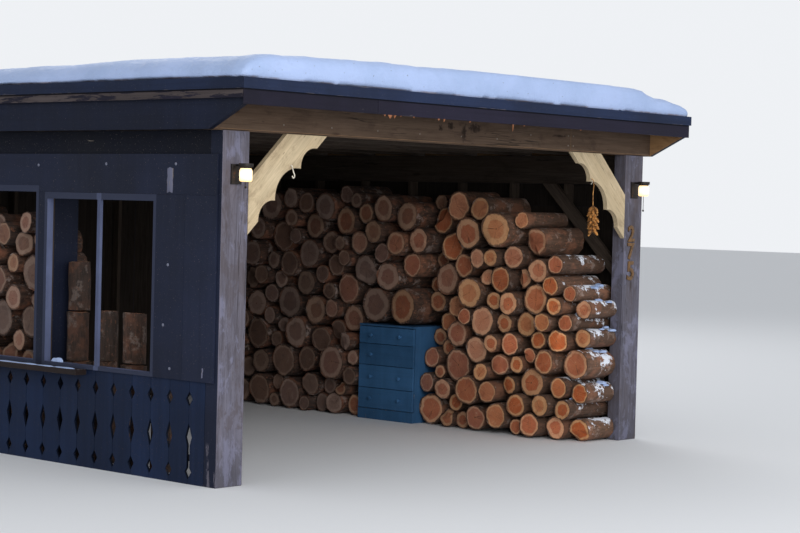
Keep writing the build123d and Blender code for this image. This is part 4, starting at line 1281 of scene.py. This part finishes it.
class LOGSTORE_OT_roof_snow(bpy.types.Operator):
    """Blanket of snow on the roof, with soft edges, waves and small lumps"""

    bl_idname = "logstore.roof_snow"
    bl_label = "Roof snow"

    def execute(self, context):
        snow = context.scene.log_store.snow
        low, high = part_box("roof_snow")
        piece = node_copy("roof_snow", "roof_snow_blanket")
        apply_modifier(piece, "REMESH", mode="VOXEL", voxel_size=snow.grain, use_smooth_shade=True)
        apply_modifier(piece, "SMOOTH", factor=0.5, iterations=3)
        with reshaped(piece) as places:
            depth = np.clip((places[:, 2] - low.z) / 0.08, 0, 1)
            x, y = places[:, 0], places[:, 1]
            waves = (np.sin(1.7 * x + 0.8 * np.sin(1.3 * y)) + 0.7 * np.sin(2.9 * y + 1.1 * np.cos(1.9 * x))
                     + 0.45 * np.sin(5.3 * x + 4.1 * y)) / 2.15
            front = np.clip((-1.4 - y) / 1.2, 0, 1)
            far_side = np.clip(y / 2.4 + 0.2, 0, 1) * np.clip(-x / 1.5, 0, 1)
            places[:, 2] += depth * (snow.wave_height * waves * 0.5 + 0.024 * front - 0.03 * far_side)
            to_end = np.minimum(x - low.x, high.x - x)
            rounding = np.sqrt(1 - (1 - np.clip(to_end / 0.34, 0, 1)) ** 2)
            places[:, 2] = low.z + (places[:, 2] - low.z) * (0.16 + 0.84 * rounding)
        lumps = bpy.data.textures.new("snow_lumps", "CLOUDS")
        lumps.noise_scale = 0.16
        lumps.noise_depth = 3
        apply_modifier(piece, "DISPLACE", texture=lumps, strength=snow.ripple_height * 2.2, mid_level=0.46,
                       texture_coords="LOCAL")
        swells = bpy.data.textures.new("snow_swells", "CLOUDS")
        swells.noise_scale = 0.7
        apply_modifier(piece, "DISPLACE", texture=swells, strength=snow.wave_height, mid_level=0.5,
                       direction="Z", texture_coords="LOCAL")
        with reshaped(piece) as places:
            places[:] = np.clip(places, np.array(low), np.array(high))
            inside = np.minimum(places[:, :2] - np.array(low.xy), np.array(high.xy) - places[:, :2]).min(1)
            rise = places[:, 2] - low.z
            places[(rise < 0.006) | ((rise < 0.02) & (inside > 0.05)), 2] = low.z
        piece.data.materials.append(settled_snow("settled_snow", snow.colour))
        smooth(piece, 60)
        stand_for(piece, "roof_snow")
        return {"FINISHED"}


def snow_lump(name, centre, half_size, seed):
    """Flattened lump of snow that sits on a ledge or a log."""
    piece = started(name, bpy.ops.mesh.primitive_ico_sphere_add, subdivisions=4, radius=1)
    chance = random.Random(seed)
    turns = [chance.uniform(0, 2 * math.pi) for _ in range(4)]
    with reshaped(piece) as places:
        wobble = 1 + 0.12 * np.sin(3 * places[:, 0] + turns[0]) + 0.12 * np.sin(4 * places[:, 1] + turns[1])
        wobble = wobble + 0.06 * np.sin(9 * places[:, 0] + turns[2]) * np.sin(8 * places[:, 1] + turns[3])
        places *= wobble[:, None]
        places[:, 2] = np.maximum(places[:, 2], -0.15)
        places[:] = places * np.array(half_size) + np.array(centre)
    with edit_mode(piece):
        bpy.ops.mesh.remove_doubles(threshold=0.0004)
    smooth(piece, 60)
    return piece


class LOGSTORE_OT_loose_snow(bpy.types.Operator):
    """Small snow lumps on the front logs, the window sill and the ledge"""

    bl_idname = "logstore.loose_snow"
    bl_label = "Loose snow"

    def execute(self, context):
        made = []
        logs = sorted(((*circle_of(part[:, 1:]), part[:, 0].min(), part[:, 0].max())
                       for part in node_parts("log_stack_front")), key=lambda log: log[0])
        front_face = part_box("log_stack_front")[0].y
        chance = random.Random(19)
        for y, z, radius, face, end in logs:
            if y - radius > front_face + 0.12 or z < 0.12:
                continue
            for _ in range(3):
                along = chance.uniform(face + 0.14, end - 0.04)
                turn = chance.uniform(1.5, 2.5)
                size = chance.uniform(0.016, 0.036)
                place = (along, y + radius * 0.94 * math.cos(turn), z + radius * 0.92 * math.sin(turn))
                made.append(snow_lump("log_snow", place, (size * 1.3, size, size * 0.55), chance.randrange(1000)))
        frame_low, frame_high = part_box("window_frame_front")
        made.append(snow_lump("sill_snow", (frame_low.x + 0.03, frame_high.y - 0.14, SILL_LEVEL),
                              (0.017, 0.055, 0.026), 71))
        low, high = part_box("ledge_board")
        steps = 11
        run = high.y - low.y - 0.06
        for index in range(steps):
            wide = chance.uniform(0.012, 0.024)
            place = (low.x + wide + 0.004, low.y + 0.05 + run * (index + 0.5) / steps, high.z)
            made.append(snow_lump("ledge_snow", place, (wide, run / steps * chance.uniform(0.45, 0.7), 0.0065),
                                  80 + index))
        add_on(join(made, "loose_snow"), bpy.data.materials["settled_snow"])
        return {"FINISHED"}


# Chest of drawers

class LOGSTORE_OT_chest(bpy.types.Operator):
    """Painted chest of drawers with turned knobs, one of them missing"""

    bl_idname = "logstore.chest"
    bl_label = "Chest of drawers"

    def execute(self, context):
        colours = context.scene.log_store.paint
        colour, bare = colours.chest_colour, colours.bare_colour
        carcass_round, drawer_round, panel_back, knob_inset = 0.0025, 0.003, 0.0004, 0.147
        # The rounded edges take a darker paint, as painted shade in the gaps between the drawers.
        finishes = (painted_wood("chest_paint", colour, bare, 0.03, 0.16, 0.1, 0.5, 0.22),
                    painted_wood("chest_paint_edge", toned(colour, 0.75), bare, 0.12, 0.2, 0.1, 0.5))
        knob_finish = painted_wood("knob_paint", toned(colour, 1.3), bare, 0.1, 0.0, 0.05, 0.4)
        dressed_boards("chest_carcass", "painted", finishes, carcass_round, 111)
        knob_model = turned("knob_model", [
            (0.0085, 0.0), (0.0078, 0.003), (0.0068, 0.007), (0.0072, 0.011), (0.0125, 0.014), (0.0162, 0.017),
            (0.0168, 0.020), (0.0155, 0.0235), (0.0105, 0.0252), (0.004, 0.0258)], 18)
        smooth(knob_model, 50)
        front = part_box("chest_carcass")[0].x
        for number in range(1, 5):
            node = f"chest_drawer_{number}"
            low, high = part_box(node)
            piece = node_copy(node, f"{node}_painted")
            with edit_mode(piece):
                bpy.ops.mesh.bisect(plane_co=(front - panel_back, 0, 0), plane_no=(-1, 0, 0), use_fill=True,
                                    clear_outer=True)
            for finish in finishes:
                piece.data.materials.append(finish)
            round_edges(piece, drawer_round, 1)
            knobs = []
            for place in (low.y + knob_inset, high.y - knob_inset):
                if number == 3 and place < (low.y + high.y) / 2:
                    continue
                knob = mesh_copy(knob_model, "knob")
                place_piece(knob, Matrix.Translation((front, place, (low.z + high.z) / 2))
                            @ Matrix.Rotation(-math.pi / 2, 4, "Y"))
                knob.data.materials.append(knob_finish)
                knobs.append(knob)
            piece = join([piece, *knobs], f"{node}_painted")
            mark_grain(piece, 120 + number, (0, 1, 0))
            smooth_arrises(piece, 35)
            stand_for(piece, node, f"drawer_{number}_body")
        discard(knob_model)
        return {"FINISHED"}


# Lanterns, hooks, feeder, numerals, nails

class LOGSTORE_OT_lanterns(bpy.types.Operator):
    """Glowing jars with ribbed lids on wall plates"""

    bl_idname = "logstore.lanterns"
    bl_label = "Jar lanterns"

    def execute(self, context):
        lanterns = context.scene.log_store.lanterns
        low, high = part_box("lantern_jars")
        radius, middle, tall = (high.y - low.y) / 2, (low.y + high.y) / 2, high.z - low.z
        left, right = low.x + radius, high.x - radius

        def both(name, shape):
            """One turned shape, in shares of the jar, at each lantern."""
            model = turned(name, [(radius * share, tall * level) for share, level in shape], 32)
            made = [mesh_copy(model, "lantern_part") for _ in range(2)]
            for copy, x in zip(made, (left, right)):
                place_piece(copy, Matrix.Translation((x, middle, low.z)))
            discard(model)
            return made

        jar = join(both("jar_model", [(0.62, 0.0), (0.86, 0.02), (0.97, 0.08), (1.0, 0.16), (1.0, 0.7), (0.97, 0.78),
                                      (0.86, 0.87), (0.8, 0.92), (0.8, 1.0)]), "lantern_jars_lit")
        lids = both("lid_model", [(0.88, 0.9), (0.92, 0.91), (0.92, 0.97), (0.9, 0.975), (0.95, 0.985),
                                  (1.08, 1.0), (1.08, 1.02)])
        jar.data.materials.append(lit_glass("lantern_glow", lanterns.glow_colour, lanterns.glow_strength, low.z,
                                            high.z))
        smooth(jar, 50)
        stand_for(jar, "lantern_jars")
        mounts = node_copy("lantern_mounts", "lantern_mounts_metal")
        round_edges(mounts, 0.0016)
        pulls = []
        for x, reach in ((left, 0.03), (right, 0.11)):
            profile = [(0.0022, 0.0), (0.0022, -reach), (0.0062, -reach - 0.003), (0.0078, -reach - 0.009),
                       (0.006, -reach - 0.015), (0.002, -reach - 0.018)]
            pull = turned("pull", profile, 12)
            place_piece(pull, Matrix.Translation((x, middle, low.z + 0.004)))
            pulls.append(pull)
        metalwork = join([mounts, *lids, *pulls], "lantern_mounts_metal")
        metalwork.data.materials.clear()
        metalwork.data.materials.append(dark_metal("lantern_metal", lanterns.metal_colour))
        outward(metalwork)
        smooth(metalwork, METAL_SMOOTHING)
        stand_for(metalwork, "lantern_mounts")
        return {"FINISHED"}


def cone_model(tiers=7, tier_height=0.006):
    """One cone: tiers of scales that widen and close, hanging tip down from its stalk."""
    profile = [(0.0025, 0.008), (0.0025, 0.0)]
    for tier in range(tiers):
        share = math.sin(math.pi * (0.18 + 0.74 * (tier + 1) / tiers))
        level = -tier_height * tier - 0.002
        profile += [(0.0055 + 0.008 * share, level - 0.0045), (0.0045 + 0.0035 * share, level - 0.006)]
    profile.append((0.002, -tier_height * tiers - 0.006))
    cone = turned("cone_model", profile, 8)
    with reshaped(cone) as places:
        angle = np.arctan2(places[:, 1], places[:, 0])
        tier = np.round(places[:, 2] / -tier_height)
        places[:, :2] *= (1 + 0.22 * np.cos(4 * angle + math.pi * tier))[:, None]
    outward(cone)
    return cone


class LOGSTORE_OT_feeder(bpy.types.Operator):
    """Bunch of cones on its wire, and the hooks of both brackets"""

    bl_idname = "logstore.feeder"
    bl_label = "Cone feeder and hooks"

    def execute(self, context):
        low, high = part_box("cone_feeder")
        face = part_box("bracket_right")[0].y
        aside, wire_radius, hook_radius, bracket_hook_radius = 0.012, 0.003, 0.0024, 0.0038
        x, y = (low.x + high.x) / 2 - aside, low.y + 0.01
        body_low, body_high = low.z - 0.018, high.z - 0.212
        model = cone_model()
        chance = random.Random(31)
        made = []
        layers = 8
        for layer in range(layers):
            count = 4 if layer < layers - 1 else 2
            z = body_high - 0.012 - (body_high - body_low - 0.075) * layer / (layers - 1)
            for index in range(count):
                angle = 2 * math.pi * (index + 0.5 * (layer % 2)) / count + chance.uniform(-0.2, 0.2)
                reach = 0.6 * (0.024 + 0.008 * chance.random())
                tilt = Matrix.Rotation(-math.radians(chance.uniform(18, 48)), 4,
                                       Vector((-math.sin(angle), math.cos(angle), 0)))
                size = Matrix.Scale(chance.uniform(0.9, 1.15), 4)
                cone = mesh_copy(model, "cone")
                place = Matrix.Translation((x + reach * math.cos(angle), y + reach * math.sin(angle), z))
                place_piece(cone, place @ tilt @ size)
                made.append(cone)
        discard(model)
        made.append(wire("feeder_wire", [
            (x + aside, face, high.z - 0.004), (x + aside, face - 0.012, high.z - 0.002),
            (x + 0.01, y + 0.008, high.z - 0.03), (x + 0.004, y + 0.006, high.z - 0.12),
            (x, y, body_high - 0.02), (x, y, body_low + 0.05)], wire_radius))
        cones = join(made, "cone_feeder_cones")
        with reshaped(cones) as places:
            places[:, 1] = np.minimum(places[:, 1], face - 0.001)
        cones.data.materials.append(cone_scales("cone_scales"))
        smooth(cones, 30)
        stand_for(cones, "cone_feeder")
        hook_right = wire("feeder_hook", [
            (x + aside + 0.012 * math.cos(turn), face - 0.006, high.z - 0.022 + 0.02 * math.sin(turn))
            for turn in np.linspace(-0.6 * math.pi, 0.75 * math.pi, 7)], hook_radius)
        hook_x, hook_y, hook_z = -1.712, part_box("bracket_left")[0].y, 2.09
        hook_left = wire("bracket_hook", [
            (hook_x + right, hook_y - out, hook_z + up) for right, out, up in (
                (0.0, 0.0, 0.0), (0.0, 0.014, 0.002), (0.004, 0.02, -0.018), (0.014, 0.02, -0.042),
                (0.024, 0.02, -0.066), (0.014, 0.02, -0.08), (0.002, 0.02, -0.066))], bracket_hook_radius)
        add_on(join([hook_right, hook_left], "bracket_hooks"),
               dark_metal("hook_metal", paint(214, 206, 190), 0.2, 0.45))
        return {"FINISHED"}


class LOGSTORE_OT_numerals(bpy.types.Operator):
    """Metal house numerals down the right post"""

    bl_idname = "logstore.numerals"
    bl_label = "Numerals"

    def execute(self, context):
        low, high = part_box("front_post_right")
        middle_share, cap_height, stand_off = 0.39, 0.7, 0.0052
        x = low.x + (high.x - low.x) * middle_share
        made = []
        for digit, z, tall in (("2", 1.670, 0.124), ("7", 1.528, 0.126), ("5", 1.370, 0.146)):
            text = started("numeral", bpy.ops.object.text_add).data
            text.body = digit
            text.align_x = "CENTER"
            text.size = tall / cap_height
            text.extrude = 0.004
            text.bevel_depth = 0.0018
            text.bevel_resolution = 2
            text.offset = 0.003
            bpy.ops.object.convert(target="MESH")
            piece = bpy.context.view_layer.objects.active
            place_piece(piece, Matrix.Translation((x, low.y - stand_off, z)) @ Matrix.Rotation(math.pi / 2, 4, "X"))
            with reshaped(piece) as places:
                for axis, middle in ((2, z), (0, x)):
                    places[:, axis] += middle - (places[:, axis].min() + places[:, axis].max()) / 2
            outward(piece, WELD)
            made.append(piece)
        add_on(join(made, "post_numerals"),
               dark_metal("numeral_brass", paint(112, 84, 54), 0.6, 0.38), METAL_SMOOTHING)
        return {"FINISHED"}


class LOGSTORE_OT_nails(bpy.types.Operator):
    """Nail heads on the beam, and filled screw heads and old patches on the sheets"""

    bl_idname = "logstore.nails"
    bl_label = "Nails and screws"

    def execute(self, context):
        head = turned("nail_model", [(0.0062, 0.0), (0.0062, 0.0012), (0.0048, 0.0026), (0.002, 0.0032)], 10)
        beam_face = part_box("front_beam")[0].y
        wall_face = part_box("left_header_sheet")[0].x
        right_face, back_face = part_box("right_sheets")[1].x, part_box("back_sheets")[1].y
        quarter, screw_size, columns, spacing = math.pi / 2, 1.7, 9, 0.55

        def heads(name, places):
            """Copies of the head at places, each turned by an angle about an axis and scaled."""
            made = []
            for place, angle, axis, size in places:
                made.append(mesh_copy(head, name))
                place_piece(made[-1], Matrix.Translation(place) @ Matrix.Rotation(angle, 4, axis)
                            @ Matrix.Scale(size, 4))
            return made

        nails = heads("nail", [((x, beam_face, z), quarter, "X", 1.0) for x, z in (
            (-1.779, 2.356), (-1.324, 2.358), (-0.865, 2.359), (-0.425, 2.358), (0.03, 2.36), (0.44, 2.36),
            (0.842, 2.407), (1.31, 2.42), (1.31, 2.345), (1.375, 2.42), (1.375, 2.345))])
        screws = [((wall_face, y, z), -quarter, "Y", screw_size) for y, z in (
            (-0.58, 2.066), (-1.316, 2.078), (-1.962, 1.419), (-1.927, 1.023), (0.15, 2.07), (0.9, 2.075),
            (1.62, 2.07), (-2.02, 2.08), (1.95, 1.4), (1.93, 1.02), (-2.0, 0.74), (1.97, 0.74))]
        for level in (0.35, 1.0, 1.6, 2.06):
            for step in range(columns):
                run = -2.2 + spacing * step
                screws += [((right_face, run, level), quarter, "Y", 1.0),
                           ((run * 0.95, back_face, level), -quarter, "X", 1.0)]
        screws = heads("screw", screws)
        discard(head)
        add_on(join(nails, "beam_nails"),
               dark_metal("nail_metal", paint(120, 112, 104), 0.6, 0.55), METAL_SMOOTHING)
        add_on(join(screws, "sheet_screws"),
               dark_metal("screw_filler", paint(102, 106, 122), 0.0, 0.8), METAL_SMOOTHING)
        patch = join([block("patch", (wall_face - 0.0012, y0, z0), (wall_face + 0.0004, y1, z1))
                      for y0, z0, y1, z1 in ((-1.995, 1.895, -1.94, 2.055), (-2.322, 0.7, -2.311, 0.762))],
                     "label_patch")
        with edit_mode(patch):
            bpy.ops.mesh.subdivide(number_cuts=5)
        with reshaped(patch) as places:
            places[:, 1] += 0.0025 * np.sin(90 * places[:, 2]) + 0.0015 * np.sin(217 * places[:, 2])
            places[:, 2] += 0.004 * np.sin(140 * places[:, 1])
        mark_grain(patch, 141)
        bare = context.scene.log_store.paint.bare_colour
        add_on(patch, painted_wood("patch_remnant", paint(104, 106, 126), bare, 0.2, 0.0, 0.2, 0.7))
        return {"FINISHED"}


# Camera, lamps and floor

class LOGSTORE_OT_stage(bpy.types.Operator):
    """Camera at the photograph's angle, soft lamps and a pale floor"""

    bl_idname = "logstore.stage"
    bl_label = "Stage"

    def execute(self, context):
        stage = context.scene.log_store.stage
        yaw, pitch, roll = stage.camera_yaw, stage.camera_pitch, stage.camera_roll
        ahead = Vector((math.cos(yaw) * math.cos(pitch), math.sin(yaw) * math.cos(pitch), math.sin(pitch)))
        level_right = Vector((math.sin(yaw), -math.cos(yaw), 0))
        level_up = level_right.cross(ahead)
        right = math.cos(roll) * level_right + math.sin(roll) * level_up
        up = -math.sin(roll) * level_right + math.cos(roll) * level_up
        camera = started("photo_camera", bpy.ops.object.camera_add)
        turn = Matrix((right, up, -ahead)).transposed().to_4x4()
        camera.matrix_world = Matrix.Translation(stage.camera_place) @ turn
        camera.data.sensor_width = 36.0
        camera.data.lens = stage.camera_lens
        camera.data.clip_end = 200.0
        context.scene.camera = camera
        lamps = (((-8.0, -14.0, 5.6), 9.0, 0.92), ((9.0, 10.0, 11.0), 9.0, 0.45), ((4.0, -15.0, 6.0), 8.0, 0.2))
        for index, (place, size, share) in enumerate(lamps):
            lamp = started(f"soft_lamp_{index + 1}", bpy.ops.object.light_add, type="AREA", location=place)
            lamp.data.size = size
            lamp.data.energy = stage.lamp_power * share
            lamp.rotation_euler = (Vector((0, 0, 1.0)) - Vector(place)).to_track_quat("-Z", "Y").to_euler()
        floor = started("studio_floor", bpy.ops.mesh.primitive_plane_add, size=160, location=(0, 0, 0))
        look = Finish("studio_floor", 0.9)
        look.base(look.noise(look.place, 0.3), toned(stage.floor_colour, 0.99), stage.floor_colour)
        floor.data.materials.append(look.done())
        self.light_world(context, stage.sky_strength)
        context.scene.view_settings.view_transform = "Standard"
        return {"FINISHED"}

    def light_world(self, context, strength):
        """Even light for the object, and a pale background for what the camera, gloss and glass see."""
        world = bpy.data.worlds.new("studio_sky")
        world.use_nodes = True
        context.scene.world = world
        nodes, links = world.node_tree.nodes, world.node_tree.links
        light, shown = nodes["Background"], nodes.new("ShaderNodeBackground")
        light.inputs["Color"].default_value = (0.93, 0.96, 1.0, 1.0)
        light.inputs["Strength"].default_value = strength
        shown.inputs["Color"].default_value = (0.86, 0.88, 0.91, 1.0)
        rays = nodes.new("ShaderNodeLightPath")
        seen = rays.outputs["Is Camera Ray"]
        for ray in ("Is Glossy Ray", "Is Transmission Ray"):
            either = nodes.new("ShaderNodeMath")
            either.operation = "MAXIMUM"
            links.new(seen, either.inputs[0])
            links.new(rays.outputs[ray], either.inputs[1])
            seen = either.outputs[0]
        blend = nodes.new("ShaderNodeMixShader")
        for index, socket in enumerate((seen, light.outputs[0], shown.outputs[0])):
            links.new(socket, blend.inputs[index])
        links.new(blend.outputs[0], nodes["World Output"].inputs["Surface"])


STEPS = (LOGSTORE_OT_timber, LOGSTORE_OT_paintwork, LOGSTORE_OT_windows, LOGSTORE_OT_fretwork, LOGSTORE_OT_stacks,
         LOGSTORE_OT_rounds, LOGSTORE_OT_roof_snow, LOGSTORE_OT_loose_snow, LOGSTORE_OT_chest,
         LOGSTORE_OT_lanterns, LOGSTORE_OT_feeder, LOGSTORE_OT_numerals, LOGSTORE_OT_nails, LOGSTORE_OT_stage)


class LOGSTORE_PT_panel(bpy.types.Panel):
    """Steps and settings of the log store"""

    bl_idname = "LOGSTORE_PT_panel"
    bl_label = "Log store"
    bl_space_type = "VIEW_3D"
    bl_region_type = "UI"
    bl_category = "Log store"

    def draw(self, context):
        for step in STEPS:
            self.layout.operator(step.bl_idname, text=step.bl_label)
        for group in LogStoreSettings.__annotations__:
            box = self.layout.box()
            box.label(text=group.title())
            owner = getattr(context.scene.log_store, group)
            for name in owner.__annotations__:
                box.prop(owner, name)


CLASSES = (TimberSettings, PaintSettings, LogSettings, SnowSettings, LanternSettings, StageSettings,
           LogStoreSettings, *STEPS, LOGSTORE_PT_panel)


def register():
    for item in CLASSES:
        bpy.utils.register_class(item)
    bpy.types.Scene.log_store = bpy.props.PointerProperty(type=LogStoreSettings)


def unregister():
    del bpy.types.Scene.log_store
    for item in reversed(CLASSES):
        bpy.utils.unregister_class(item)


def main():
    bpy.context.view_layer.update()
    register()
    for step in STEPS:
        group, operator = step.bl_idname.split(".")
        getattr(getattr(bpy.ops, group), operator)()


if __name__ == "__main__":
    main()
